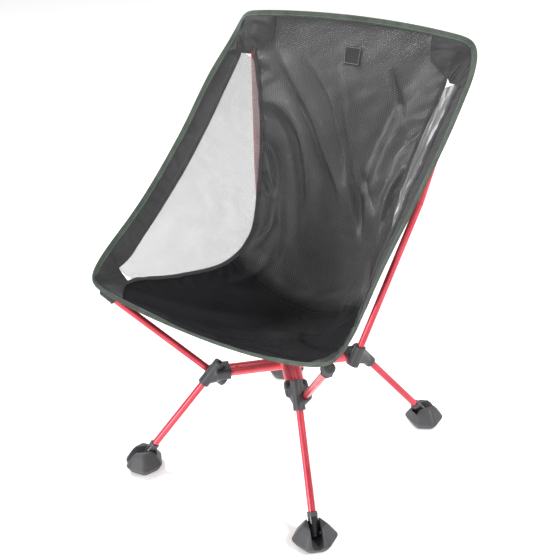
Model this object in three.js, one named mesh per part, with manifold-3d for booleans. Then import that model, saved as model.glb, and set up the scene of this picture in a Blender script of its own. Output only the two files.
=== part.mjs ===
// A low four-legged camp chair with a backrest: two flat cross bars that scissor about a centre
// rivet, a moulded hub at each bar end, a leg and an arm plugged into every hub, hinged feet, and a
// fabric sling whose corner pockets slip over the four arm tips.
// Millimetres, +Z up, the sitter faces -Y. The origin lies on the floor at the middle of the chair.
import * as THREE from 'three';
import { mergeVertices } from 'three/addons/utils/BufferGeometryUtils.js';
import { ConvexGeometry } from 'three/addons/geometries/ConvexGeometry.js';
import Module from 'manifold-3d';

const wasm = await Module();
wasm.setup();

// ---------------------------------------------------------------- driving dimensions
const PIVOT_Y = -9;              // the centre rivet's place along Y
const GAP = 0.3;                 // clearance left between touching pieces

const BAR_LEVEL = 167;           // height of the middle of the crossing
const BAR_STACK = 16;            // the upper bar's centre line above the lower bar's
const BAR_WIDTH = 28;
const BAR_THICK = 10;
const BAR_END = 103;             // half length of a bar
const BAR_ANGLE = 43;            // degrees between a bar and the chair's middle plane
const BAR_GROOVE = 2.6;          // width of the two grooves on each face
const BAR_HOLE_AT = 78;          // the oblong hole near each end

const TUBE_R = 5.4;              // every red tube
const TUBE_WALL = 0.9;
const SOCKET_R = TUBE_R + GAP;
const HUB_WALL = 3.5;
const HUB_START = 90;            // where the hub's sleeve begins on the bar
const HUB_SLEEVE_END = 112;
const LEG_EXIT = { r: 132, z: -18 };      // mouth of the leg socket, from the bar's centre line
const LEG_SOCKET = 30;
const LEG_TOWER = 44;            // the leg socket's outer length
const ARM_SOCKET = 30;
const ARM_TOWER = 34;

const COLLAR = { r: 213, z: 41 };         // where a leg tube meets its end plug
const FRONT_TURN = 1;            // degrees that a front leg leans away from its bar's direction
const BACK_TURN = -5;
const PLUG_LENGTH = 30;          // collar to foot hinge
const PLUG_R = 6.4;
const FOOT_HALF = { deep: 32, wide: 35 };
const FOOT_HEIGHT = 33;
const FOOT_SLOT = 8.4;           // half width of the slot that the plug swings in
const PIN_R = 2;

const FRONT_ARM = { r: 122, out: 11, z: 0 };    // mouth of the arm socket, from the bar's centre line
const BACK_ARM = { r: 110, out: 20, z: 25 };
const FRONT_TIP = [194, -176, 300];
const BACK_MIDDLE = [147.5, 133.5, 409];
const BACK_TIP = [186.5, 187.5, 620];
const FERRULE_HALF = 30;
const CAP_R = 5.6;
const CAP_LENGTH = 7;
const CORD_R = 1.4;

const CLOTH = 2;                 // thickness of the sling's plain solids
const HEM = 6;                   // the cloth stops this far inside the binding's centre line
const BINDING_R = 4.2;
const POCKET_LENGTH = 34;
const POCKET_R = 7.4;
const POCKET_WALL = 1.2;

// ---------------------------------------------------------------- materials
const paint = (color, roughness, metalness) => new THREE.MeshStandardMaterial({ color, roughness, metalness });
const RED = paint(0xd83a4e, 0.35, 0.9);
const CHARCOAL = paint(0x3e3f42, 0.55, 0);
const BLACK = paint(0x202124, 0.3, 0);
const STEEL = paint(0x9a9da0, 0.35, 1);
const ELASTIC = paint(0x2a2a2c, 0.8, 0);
const CLOTH_DARK = paint(0x35363a, 0.9, 0);
const CLOTH_MESH = paint(0xb9bcc0, 0.9, 0);
const TAPE = paint(0x55655a, 0.85, 0);

// ---------------------------------------------------------------- small helpers
const vec = (p) => new THREE.Vector3(...p);
const chair = new THREE.Group();
const frame = new THREE.Group();
frame.position.y = PIVOT_Y;
chair.add(frame);

function place(name, geometry, material) {
  const mesh = new THREE.Mesh(geometry, material);
  mesh.name = name;
  frame.add(mesh);
  return mesh;
}

function toSolid(geometry) {
  const bare = geometry.clone();
  for (const key of Object.keys(bare.attributes)) {
    if (key !== 'position') bare.deleteAttribute(key);
  }
  const merged = mergeVertices(bare, 1e-3);
  const index = merged.index.array;
  const kept = [];
  for (let i = 0; i < index.length; i += 3) {
    const [a, b, c] = [index[i], index[i + 1], index[i + 2]];
    if (a !== b && b !== c && c !== a) kept.push(a, b, c);
  }
  return new wasm.Manifold(new wasm.Mesh({
    numProp: 3,
    vertProperties: new Float32Array(merged.attributes.position.array),
    triVerts: new Uint32Array(kept),
  }));
}

function toGeometry(solid) {
  const { vertProperties, triVerts, numProp } = solid.getMesh();
  const positions = new Float32Array(vertProperties.length / numProp * 3);
  for (let i = 0; i < vertProperties.length / numProp; i += 1) {
    for (let k = 0; k < 3; k += 1) positions[i * 3 + k] = vertProperties[i * numProp + k];
  }
  const geometry = new THREE.BufferGeometry();
  geometry.setAttribute('position', new THREE.BufferAttribute(positions, 3));
  geometry.setIndex(Array.from(triVerts));
  geometry.computeVertexNormals();
  return geometry;
}

function combine(add, cut = []) {
  let solid = toSolid(add[0]);
  for (const extra of add.slice(1)) solid = solid.add(toSolid(extra));
  for (const tool of cut) solid = solid.subtract(toSolid(tool));
  return toGeometry(solid);
}

// A cylinder from one point to another.
function rod(from, to, radius, sides = 12) {
  const axis = to.clone().sub(from);
  const geometry = new THREE.CylinderGeometry(radius, radius, axis.length(), sides);
  geometry.applyQuaternion(new THREE.Quaternion().setFromUnitVectors(
    new THREE.Vector3(0, 1, 0), axis.clone().normalize()));
  const middle = from.clone().add(to).multiplyScalar(0.5);
  return geometry.translate(middle.x, middle.y, middle.z);
}

// A solid of revolution: profile points are [radius, distance along the axis].
function turned(profile, from, axis, sides = 12) {
  const points = profile.map(([r, h]) => new THREE.Vector2(r, h));
  const geometry = new THREE.LatheGeometry(points, sides);
  geometry.applyQuaternion(new THREE.Quaternion().setFromUnitVectors(
    new THREE.Vector3(0, 1, 0), axis.clone().normalize()));
  return geometry.translate(from.x, from.y, from.z);
}

// A hollow tube along a curve, open at both ends.
function tube(curve, outer, inner, steps, sides = 12) {
  const ring = new THREE.Shape().absarc(0, 0, outer, 0, 2 * Math.PI, false);
  if (inner > 0) ring.holes.push(new THREE.Path().absarc(0, 0, inner, 0, 2 * Math.PI, true));
  return new THREE.ExtrudeGeometry(ring, {
    extrudePath: curve, steps, curveSegments: sides / 2, bevelEnabled: false,
  });
}

const straight = (a, b) => new THREE.LineCurve3(a, b);
const along = (point, direction, distance) => point.clone().addScaledVector(direction, distance);

// A plain sheet of cloth: a grid of points thickened along its normal into one closed body.
function sheet(pointAt, columns, rows, thickness = CLOTH) {
  const step = 1e-3;
  const positions = [];
  for (const face of [1, -1]) {
    for (let j = 0; j <= rows; j += 1) {
      for (let i = 0; i <= columns; i += 1) {
        const [u, v] = [i / columns, j / rows];
        const du = pointAt(Math.min(u + step, 1), v).sub(pointAt(Math.max(u - step, 0), v));
        const dv = pointAt(u, Math.min(v + step, 1)).sub(pointAt(u, Math.max(v - step, 0)));
        const normal = du.cross(dv).normalize();
        const point = pointAt(u, v).addScaledVector(normal, face * thickness / 2);
        positions.push(point.x, point.y, point.z);
      }
    }
  }
  const across = columns + 1;
  const back = across * (rows + 1);
  const faces = [];
  const quad = (a, b, c, d) => faces.push(a, b, c, a, c, d);
  for (let j = 0; j < rows; j += 1) {
    for (let i = 0; i < columns; i += 1) {
      const a = j * across + i;
      quad(a, a + 1, a + across + 1, a + across);
      quad(back + a, back + a + across, back + a + across + 1, back + a + 1);
    }
  }
  for (let i = 0; i < columns; i += 1) {
    const top = rows * across + i;
    quad(i, back + i, back + i + 1, i + 1);
    quad(top, top + 1, back + top + 1, back + top);
  }
  for (let j = 0; j < rows; j += 1) {
    const [left, right] = [j * across, j * across + columns];
    quad(left, left + across, back + left + across, back + left);
    quad(right, back + right, back + right + across, right + across);
  }
  const geometry = new THREE.BufferGeometry();
  geometry.setAttribute('position', new THREE.Float32BufferAttribute(positions, 3));
  geometry.setIndex(faces);
  geometry.computeVertexNormals();
  return geometry;
}

// ---------------------------------------------------------------- the four corners
// side is -1 on the left and 1 on the right; front is true at the sitter's knees.
// The bar from front left to back right lies under the other one.
function corner(side, front) {
  const name = `${front ? 'front' : 'back'}_${side < 0 ? 'left' : 'right'}`;
  const ahead = front ? -1 : 1;
  const upper = front === (side > 0);
  const level = BAR_LEVEL + (upper ? 1 : -1) * BAR_STACK / 2;
  const angle = THREE.MathUtils.degToRad(BAR_ANGLE);
  const radial = new THREE.Vector3(side * Math.sin(angle), ahead * Math.cos(angle), 0);
  const outward = new THREE.Vector3(side * Math.cos(angle), -ahead * Math.sin(angle), 0);
  const at = (r, out, z) => radial.clone().multiplyScalar(r).addScaledVector(outward, out).setZ(z);

  const legAngle = angle + THREE.MathUtils.degToRad(front ? FRONT_TURN : BACK_TURN);
  const legRadial = new THREE.Vector3(side * Math.sin(legAngle), ahead * Math.cos(legAngle), 0);
  const collar = legRadial.clone().multiplyScalar(COLLAR.r).setZ(COLLAR.z);
  const exit = at(LEG_EXIT.r, 0, level + LEG_EXIT.z);
  const leg = collar.clone().sub(exit).normalize();
  const toe = new THREE.Vector3(leg.x, leg.y, 0).normalize();
  const hinge = along(collar, leg, PLUG_LENGTH);

  const socket = front ? FRONT_ARM : BACK_ARM;
  const mouth = at(socket.r, socket.out, level + socket.z);
  const target = vec(front ? FRONT_TIP : BACK_MIDDLE);
  target.x *= side;
  const arm = target.clone().sub(mouth).normalize();
  return { name, side, front, upper, level, radial, outward, at, collar, exit, leg, toe, hinge, mouth, arm };
}

const corners = [corner(-1, true), corner(1, true), corner(-1, false), corner(1, false)];

// ---------------------------------------------------------------- cross bars and the centre rivet
// Flat extrusion with round edges and two shallow grooves on each face.
function barSection(spare = 0) {
  const halfWidth = BAR_WIDTH / 2 + spare;
  const halfThick = BAR_THICK / 2 + spare;
  const edge = halfWidth - halfThick;
  const shape = new THREE.Shape();
  const grooveAt = BAR_WIDTH * 0.22;
  const depth = spare > 0 ? 0 : 1.5;
  shape.moveTo(-edge, -halfThick);
  for (const centre of [-grooveAt, grooveAt]) {
    shape.lineTo(centre - BAR_GROOVE / 2, -halfThick);
    shape.lineTo(centre, -halfThick + depth);
    shape.lineTo(centre + BAR_GROOVE / 2, -halfThick);
  }
  shape.lineTo(edge, -halfThick);
  shape.absarc(edge, 0, halfThick, -Math.PI / 2, Math.PI / 2, false);
  for (const centre of [grooveAt, -grooveAt]) {
    shape.lineTo(centre + BAR_GROOVE / 2, halfThick);
    shape.lineTo(centre, halfThick - depth);
    shape.lineTo(centre - BAR_GROOVE / 2, halfThick);
  }
  shape.lineTo(-edge, halfThick);
  shape.absarc(-edge, 0, halfThick, Math.PI / 2, 3 * Math.PI / 2, false);
  return shape;
}

// Extrudes a section (across, up) along the corner's bar direction.
function alongBar(shape, spot, from, to) {
  const geometry = new THREE.ExtrudeGeometry(shape, { depth: to - from, bevelEnabled: false, curveSegments: 8 });
  const basis = new THREE.Matrix4().makeBasis(
    new THREE.Vector3().crossVectors(new THREE.Vector3(0, 0, 1), spot.radial), new THREE.Vector3(0, 0, 1), spot.radial);
  geometry.applyMatrix4(basis);
  const start = spot.at(from, 0, spot.level);
  return geometry.translate(start.x, start.y, start.z);
}

const RIVET_R = 3.4;
for (const [name, spot] of [['cross_bar_lower', corners[0]], ['cross_bar_upper', corners[1]]]) {
  const section = barSection();
  for (const centre of [-1, 1]) {
    const bore = BAR_WIDTH / 2 - BAR_THICK / 2 - 0.6;
    section.holes.push(new THREE.Path().absarc(centre * bore, 0, BAR_THICK / 2 - 1.6, 0, 2 * Math.PI, true));
  }
  const cuts = [rod(vec([0, 0, spot.level - BAR_THICK]), vec([0, 0, spot.level + BAR_THICK]), RIVET_R + GAP)];
  for (const end of [-1, 1]) {
    const from = spot.at(end * BAR_HOLE_AT, 0, spot.level - BAR_THICK);
    const to = from.clone().setZ(spot.level + BAR_THICK);
    cuts.push(rod(from, to, 1.8, 12), rod(along(from, spot.radial, 2.6), along(to, spot.radial, 2.6), 1.8, 12));
  }
  place(name, combine([alongBar(section, spot, -BAR_END, BAR_END)], cuts), RED);
}

const rivetHead = BAR_LEVEL + BAR_STACK / 2 + BAR_THICK / 2 + GAP;
const rivetFoot = BAR_LEVEL - BAR_STACK / 2 - BAR_THICK / 2 - GAP;
const spacerHalf = (BAR_STACK - BAR_THICK) / 2 - GAP;
place('pivot_rivet', turned([
  [0, rivetFoot - 3], [4.5, rivetFoot - 3], [7, rivetFoot - 1.5], [7, rivetFoot], [RIVET_R, rivetFoot],
  [RIVET_R, rivetHead], [7, rivetHead], [7, rivetHead + 1.5], [4.5, rivetHead + 3], [0, rivetHead + 3],
], vec([0, 0, 0]), vec([0, 1e-9, 1])), STEEL);
place('pivot_spacer', turned([
  [RIVET_R + GAP, -spacerHalf], [10, -spacerHalf], [10, spacerHalf], [RIVET_R + GAP, spacerHalf],
  [RIVET_R + GAP, -spacerHalf],
], vec([0, 0, BAR_LEVEL]), vec([0, 1e-9, 1])), BLACK);

// ---------------------------------------------------------------- hubs
function hubGeometry(spot) {
  const sleeve = new THREE.Shape();
  const [w, h, round] = [BAR_WIDTH / 2 + HUB_WALL, BAR_THICK / 2 + HUB_WALL, 6];
  sleeve.moveTo(-w + round, -h);
  sleeve.lineTo(w - round, -h);
  sleeve.absarc(w - round, -h + round, round, -Math.PI / 2, 0, false);
  sleeve.lineTo(w, h - round);
  sleeve.absarc(w - round, h - round, round, 0, Math.PI / 2, false);
  sleeve.lineTo(-w + round, h);
  sleeve.absarc(-w + round, h - round, round, Math.PI / 2, Math.PI, false);
  sleeve.lineTo(-w, -h + round);
  sleeve.absarc(-w + round, -h + round, round, Math.PI, 3 * Math.PI / 2, false);

  const outer = SOCKET_R + HUB_WALL;
  const legTop = along(spot.exit, spot.leg, -LEG_TOWER);
  const armFoot = along(spot.mouth, spot.arm, -ARM_TOWER);
  const towers = [rod(spot.exit, legTop, outer), rod(armFoot, spot.mouth, outer)];

  // The web that ties the sleeve and both sockets together.
  const points = [];
  for (const z of [-h + 2, h - 2]) {
    for (const out of [-w + 3, w - 3]) points.push(spot.at(HUB_SLEEVE_END - 8, out, spot.level + z));
  }
  const rings = [
    [along(spot.exit, spot.leg, -6), spot.leg], [along(legTop, spot.leg, 8), spot.leg],
    [along(spot.mouth, spot.arm, -7), spot.arm], [along(armFoot, spot.arm, 8), spot.arm],
  ];
  for (const [centre, axis] of rings) {
    const first = new THREE.Vector3().crossVectors(axis, spot.outward).normalize();
    const second = new THREE.Vector3().crossVectors(axis, first).normalize();
    for (let k = 0; k < 6; k += 1) {
      const turn = k / 6 * 2 * Math.PI;
      points.push(centre.clone().addScaledVector(first, (outer - 1.2) * Math.cos(turn))
        .addScaledVector(second, (outer - 1.2) * Math.sin(turn)));
    }
  }
  const web = new ConvexGeometry(points);

  const cuts = [
    alongBar(barSection(GAP), spot, HUB_START - 1, BAR_END + GAP),
    rod(along(spot.exit, spot.leg, 25), along(spot.exit, spot.leg, -LEG_SOCKET), SOCKET_R),
    rod(along(spot.exit, spot.leg, -LEG_SOCKET + 1), along(spot.exit, spot.leg, -LEG_TOWER - 3), 3.6, 16),
    rod(along(spot.mouth, spot.arm, 25), along(spot.mouth, spot.arm, -ARM_SOCKET), SOCKET_R),
  ];
  return combine([alongBar(sleeve, spot, HUB_START, HUB_SLEEVE_END), ...towers, web], cuts);
}

// ---------------------------------------------------------------- feet
const FOOT_CORNERS = [26, 88, 148, 212, 272, 334];    // degrees round the block, toe facet at 0
const FOOT_LEVELS = [[0, 0.74], [3, 0.84], [11, 1], [27, 0.66], [FOOT_HEIGHT, 0.5]];

function footOutline(scale) {
  const points = FOOT_CORNERS.map((degrees) => {
    const turn = THREE.MathUtils.degToRad(degrees);
    return [FOOT_HALF.deep * scale * Math.cos(turn), FOOT_HALF.wide * scale * Math.sin(turn)];
  });
  const rounded = [];
  for (let i = 0; i < points.length; i += 1) {
    const [before, here, after] = [points.at(i - 1), points[i], points[(i + 1) % points.length]];
    for (const [other, share] of [[before, 0.16], [before, 0.05], [after, 0.05], [after, 0.16]]) {
      const pull = share === 0.05 ? 0.97 : 1;
      rounded.push([
        (here[0] + (other[0] - here[0]) * share) * pull,
        (here[1] + (other[1] - here[1]) * share) * pull,
      ]);
    }
  }
  return rounded;
}

function footGeometry(spot) {
  const across = new THREE.Vector3().crossVectors(new THREE.Vector3(0, 0, 1), spot.toe);
  const centre = spot.hinge.clone().setZ(0);
  const points = [];
  for (const [z, scale] of FOOT_LEVELS) {
    for (const [deep, wide] of footOutline(scale)) {
      const point = along(along(centre, spot.toe, deep), across, wide);
      points.push(point.setZ(z));
    }
  }
  const block = new ConvexGeometry(points);

  // The slot: everything the plug sweeps, from a little inboard of its resting lean to lying flat.
  const lean = Math.atan2(-spot.leg.z, Math.hypot(spot.leg.x, spot.leg.y)) - THREE.MathUtils.degToRad(10);
  const inward = [-Math.cos(lean), Math.sin(lean)];
  const side = [-inward[1], inward[0]];
  const reach = FOOT_SLOT;
  const slot = new THREE.Shape();
  slot.moveTo(side[0] * reach, side[1] * reach);
  slot.lineTo(side[0] * reach + inward[0] * 70, side[1] * reach + inward[1] * 70);
  slot.lineTo(70, 70);
  slot.lineTo(70, -reach);
  slot.lineTo(0, -reach);
  slot.absarc(0, 0, reach, -Math.PI / 2, Math.atan2(side[1], side[0]) - (side[1] > 0 ? 2 * Math.PI : 0), true);
  const channel = new THREE.ExtrudeGeometry(slot, {
    depth: 2 * FOOT_SLOT, bevelEnabled: false, curveSegments: 8,
  });
  channel.translate(0, 0, -FOOT_SLOT);
  channel.applyMatrix4(new THREE.Matrix4().makeBasis(
    spot.toe, new THREE.Vector3(0, 0, 1), new THREE.Vector3().crossVectors(spot.toe, new THREE.Vector3(0, 0, 1))));
  channel.translate(spot.hinge.x, spot.hinge.y, spot.hinge.z);
  const pinHole = rod(along(spot.hinge, across, -16), along(spot.hinge, across, 16), PIN_R + GAP, 16);
  return combine([block], [channel, pinHole]);
}

// ---------------------------------------------------------------- the pieces of each corner
const CORD_TO_PLUG = 96;         // how far down the leg its cord reaches
for (const spot of corners) {
  const across = new THREE.Vector3().crossVectors(new THREE.Vector3(0, 0, 1), spot.toe);
  place(`hub_${spot.name}`, hubGeometry(spot), CHARCOAL);

  const legTop = along(spot.exit, spot.leg, -LEG_SOCKET + 1);
  place(`leg_tube_${spot.name}`, tube(straight(legTop, along(spot.collar, spot.leg, -GAP)),
    TUBE_R, TUBE_R - TUBE_WALL, 1), RED);
  const spigot = TUBE_R - TUBE_WALL - GAP;
  place(`leg_plug_${spot.name}`, combine([turned([
    [0, -18], [spigot, -18], [spigot, 0], [7.5, 0], [7.5, 5], [PLUG_R, 7],
    [PLUG_R, PLUG_LENGTH + 1], [PLUG_R * 0.8, PLUG_LENGTH + 4.5], [0, PLUG_LENGTH + 6],
  ], spot.collar, spot.leg)], [
    rod(along(spot.hinge, across, -12), along(spot.hinge, across, 12), PIN_R + GAP, 16),
  ]), BLACK);
  place(`leg_cord_${spot.name}`, rod(along(spot.exit, spot.leg, -LEG_TOWER + 3),
    along(spot.exit, spot.leg, CORD_TO_PLUG), CORD_R, 8), ELASTIC);
  place(`foot_${spot.name}`, footGeometry(spot), CHARCOAL);
  place(`foot_pin_${spot.name}`, rod(along(spot.hinge, across, -15), along(spot.hinge, across, 15), PIN_R, 16), STEEL);
}

// ---------------------------------------------------------------- arms
function cap(name, tip, direction) {
  const spigot = TUBE_R - TUBE_WALL - GAP;
  place(name, turned([
    [0, -14], [spigot, -14], [spigot, 0], [CAP_R, 0], [CAP_R, CAP_LENGTH * 0.5],
    [CAP_R * 0.7, CAP_LENGTH * 0.9], [0, CAP_LENGTH],
  ], tip, direction), BLACK);
}

// The cord inside an arm starts in the hub and ends part way up the first tube.
const ARM_CORD = 120;
for (const spot of corners) {
  const foot = along(spot.mouth, spot.arm, -ARM_SOCKET + 1);
  const inner = TUBE_R - TUBE_WALL;
  if (spot.front) {
    const tip = vec(FRONT_TIP);
    tip.x *= spot.side;
    place(`arm_tube_${spot.name}`, tube(straight(foot, along(tip, spot.arm, -GAP)), TUBE_R, inner, 1), RED);
    cap(`arm_cap_${spot.name}`, tip, spot.arm);
    place(`arm_cord_${spot.name}`, rod(foot, along(foot, spot.arm, ARM_CORD), CORD_R, 8), ELASTIC);
    continue;
  }
  const middle = vec(BACK_MIDDLE);
  const tip = vec(BACK_TIP);
  middle.x *= spot.side;
  tip.x *= spot.side;
  // The lower section is straight; the upper one leans a little more upright past the joint.
  const upper = tip.clone().sub(middle).normalize();
  place(`arm_tube_lower_${spot.name}`, tube(straight(foot, along(middle, spot.arm, -0.8)), TUBE_R, inner, 1), RED);
  place(`arm_tube_upper_${spot.name}`, tube(straight(along(middle, upper, 0.8), along(tip, upper, -GAP)),
    TUBE_R, inner, 1), RED);
  const ferrule = new THREE.QuadraticBezierCurve3(
    along(middle, spot.arm, -FERRULE_HALF), middle, along(middle, upper, FERRULE_HALF));
  place(`arm_ferrule_${spot.name}`, tube(ferrule, inner - 1, inner - 2, 4, 12), STEEL);
  cap(`arm_cap_${spot.name}`, tip, upper);
  place(`arm_cord_${spot.name}`, rod(foot, along(foot, spot.arm, ARM_CORD), CORD_R, 8), ELASTIC);
  spot.upperArm = upper;
}

// ---------------------------------------------------------------- the sling
// Curves run from the front corner to the back corner, on the right-hand side.
const curveThrough = (points) => new THREE.CatmullRomCurve3(points.map(vec), false, 'centripetal');
const SEAM = curveThrough([                  // where the seat and back meet the mesh sides
  [203, -193, 318], [195, -153, 313], [158, -59, 292], [130, 22, 290], [122, 72, 318],
  [124, 104, 403], [140, 136, 495], [170, 163, 589], [190, 170, 640]]);
const SPINE = curveThrough([                 // the middle of the seat and back
  [0, -160, 267], [0, -118, 250], [0, -45, 231], [0, 38, 226], [0, 100, 256],
  [0, 137, 385], [0, 157, 490], [0, 175, 590], [0, 186, 642]]);
const MESH_EDGE = curveThrough([             // where the mesh meets the side band
  [206, -190, 322], [203, -160, 314], [190, -73, 377], [185, 15, 450], [186, 101, 530],
  [190, 168, 600], [196, 180, 636]]);
const SIDE_EDGE = curveThrough([             // the binding along the side
  [214, -192, 327], [217, -168, 342], [210, -73, 404], [211, 24, 480], [213, 108, 558],
  [206, 180, 622], [202, 188, 638]]);

// Across the cloth a section hangs as a parabola between its two seams.
function panelPoint(across, along01) {
  const seam = SEAM.getPoint(along01);
  const spine = SPINE.getPoint(along01);
  const sag = across * across;
  return new THREE.Vector3(seam.x * across, spine.y + (seam.y - spine.y) * sag, spine.z + (seam.z - spine.z) * sag);
}
const BEND = 0.4;                // the seat cloth is sewn to the back cloth here
const SEAM_GAP = 0.004;
const END_HEM = 0.024;           // the cloth's share left to the binding at its front and top edges
function panel(from, to) {
  return (u, v) => panelPoint((u * 2 - 1) * 0.985, from + (to - from) * v);
}
place('sling_seat', sheet(panel(END_HEM, BEND - SEAM_GAP), 10, 10), CLOTH_DARK);
place('sling_back', sheet(panel(BEND + SEAM_GAP, 1 - END_HEM), 10, 10), CLOTH_DARK);

// A strip between two side curves, mirrored for the left side.
function sideStrip(side, near, far, from, to, nearGap, farGap) {
  return (u, v) => {
    const t = from + (to - from) * v;
    const a = near.getPointAt(t);
    const b = far.getPointAt(t);
    const width = a.distanceTo(b);
    const share = (nearGap + (width - nearGap - farGap) * (side > 0 ? u : 1 - u)) / width;
    const point = a.lerp(b, share);
    point.x *= side;
    return point;
  };
}
for (const [side, name] of [[-1, 'left'], [1, 'right']]) {
  place(`sling_mesh_${name}`, sheet(sideStrip(side, SEAM, MESH_EDGE, 0.1, 0.9, 3.5, 2), 4, 16, 1.2), CLOTH_MESH);
  place(`sling_band_${name}`, sheet(sideStrip(side, MESH_EDGE, SIDE_EDGE, 0.08, 0.92, 2, HEM), 2, 16), CLOTH_DARK);
}

// The binding is one loop round the whole sling.
function bindingLoop() {
  const points = [];
  for (let k = -6; k <= 6; k += 1) points.push(panelPoint(k / 6, 0));
  for (let k = 0; k <= 10; k += 1) points.push(SIDE_EDGE.getPointAt(k / 10));
  for (let k = 6; k >= -6; k -= 1) points.push(panelPoint(k / 6 * 0.97, 1).add(new THREE.Vector3(0, 0, 4)));
  for (let k = 10; k >= 0; k -= 1) points.push(SIDE_EDGE.getPointAt(k / 10).multiply(new THREE.Vector3(-1, 1, 1)));
  return new THREE.CatmullRomCurve3(points, true, 'centripetal');
}
place('sling_binding', tube(bindingLoop(), BINDING_R, 0, 72, 6), TAPE);

// Each pocket is a cup that covers the end of its arm.
for (const spot of corners) {
  const tip = vec(spot.front ? FRONT_TIP : BACK_TIP);
  tip.x *= spot.side;
  const direction = spot.front ? spot.arm : spot.upperArm;
  const [mouth, end] = [-POCKET_LENGTH, CAP_LENGTH + 1];
  place(`sling_pocket_${spot.name}`, turned([
    [0, end], [POCKET_R * 0.7, end - 1], [POCKET_R, end - 5], [POCKET_R, mouth], [POCKET_R + POCKET_WALL, mouth],
    [POCKET_R + POCKET_WALL, end - 4], [POCKET_R * 0.8, end + 1], [0, end + POCKET_WALL],
  ], tip, direction), CLOTH_DARK);
}

// The small woven patch near the top of the back.
const PATCH = { half: 15, at: 0.883, tall: 0.052 };
place('sling_patch', sheet((u, v) => {
  const point = panelPoint((u - 0.5) * 2 * PATCH.half / 180, PATCH.at - PATCH.tall / 2 + PATCH.tall * v);
  return point.add(new THREE.Vector3(0, -CLOTH, 0));
}, 2, 2, 0.8), BLACK);

export default chair;
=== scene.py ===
# A low packable camp chair: the looks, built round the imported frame.
# Lengths in this script are millimetres measured from the centre rivet's axis on the floor;
# place() turns them into the frame's metres.
import math

import bmesh
import bpy
import numpy as np
from mathutils import Matrix, Vector


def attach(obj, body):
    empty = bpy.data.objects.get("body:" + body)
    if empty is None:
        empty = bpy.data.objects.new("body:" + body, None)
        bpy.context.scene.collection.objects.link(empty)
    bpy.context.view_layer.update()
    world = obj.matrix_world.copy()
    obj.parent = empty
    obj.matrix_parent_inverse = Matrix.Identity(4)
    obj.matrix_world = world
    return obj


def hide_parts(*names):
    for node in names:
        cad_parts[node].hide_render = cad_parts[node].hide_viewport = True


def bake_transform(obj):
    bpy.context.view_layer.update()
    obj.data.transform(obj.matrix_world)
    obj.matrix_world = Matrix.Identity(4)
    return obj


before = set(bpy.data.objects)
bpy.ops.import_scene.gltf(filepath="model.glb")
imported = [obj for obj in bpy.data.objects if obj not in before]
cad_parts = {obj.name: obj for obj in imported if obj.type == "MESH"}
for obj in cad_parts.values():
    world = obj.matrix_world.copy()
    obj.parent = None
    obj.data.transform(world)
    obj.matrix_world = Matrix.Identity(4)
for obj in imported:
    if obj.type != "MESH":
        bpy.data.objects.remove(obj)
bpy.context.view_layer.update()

# ---------------------------------------------------------------- driving dimensions
PIVOT_Y = -9.0
BAR_LEVEL = 167.0
BAR_STACK = 16.0
BAR_WIDTH = 28.0
BAR_THICK = 10.0
BAR_END = 103.0
BAR_ANGLE = 43.0
BAR_HOLE_AT = 78.0

TUBE_R = 5.4
TUBE_WALL = 0.9
LEG_EXIT = (132.0, -18.0)
LEG_SOCKET = 30.0
LEG_TOWER = 44.0
ARM_SOCKET = 30.0
COLLAR = (213.0, 41.0)
FRONT_TURN = 1.0
BACK_TURN = -5.0
PLUG_LENGTH = 30.0
PLUG_R = 6.4
PIN_R = 2.0
FOOT_SLOT = 8.3
FRONT_ARM = (122.0, 11.0, 0.0)
BACK_ARM = (110.0, 20.0, 25.0)
FRONT_TIP = (194.0, -176.0, 300.0)
BACK_MIDDLE = (147.5, 133.5, 409.0)
BACK_TIP = (186.5, 187.5, 620.0)
CAP_LENGTH = 7.0
CAP_R = 5.6
FERRULE_REACH = 30.0
POCKET_LENGTH = 32.0
FRONT_POCKET = 15.0
CORD_R = 1.4
LEG_CORD = 96.0            # from the leg socket's mouth down the tube
ARM_CORD = 120.0           # from the arm's foot up the tube
RIVET_R = 6.9
RIVET_SHANK = 3.4
WASHER_R = 10.0

CLOTH = 0.6
NET_THICK = 0.3
TAPE_WIDTH = 7.2
TAPE_THICK = 2.6

FINE = 48                  # sides of a round piece
MOULD_VOXEL = 0.75         # remeshing grain of a moulded piece


# ---------------------------------------------------------------- points and curves
def unit(v):
    v = np.asarray(v, float)
    return v / np.linalg.norm(v, axis=-1, keepdims=True)


def lengths_along(line):
    """How far each point of a polyline is from its start, along it."""
    steps = np.linalg.norm(np.diff(line, axis=0), axis=1)
    return np.concatenate([[0], np.cumsum(steps)])


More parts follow.
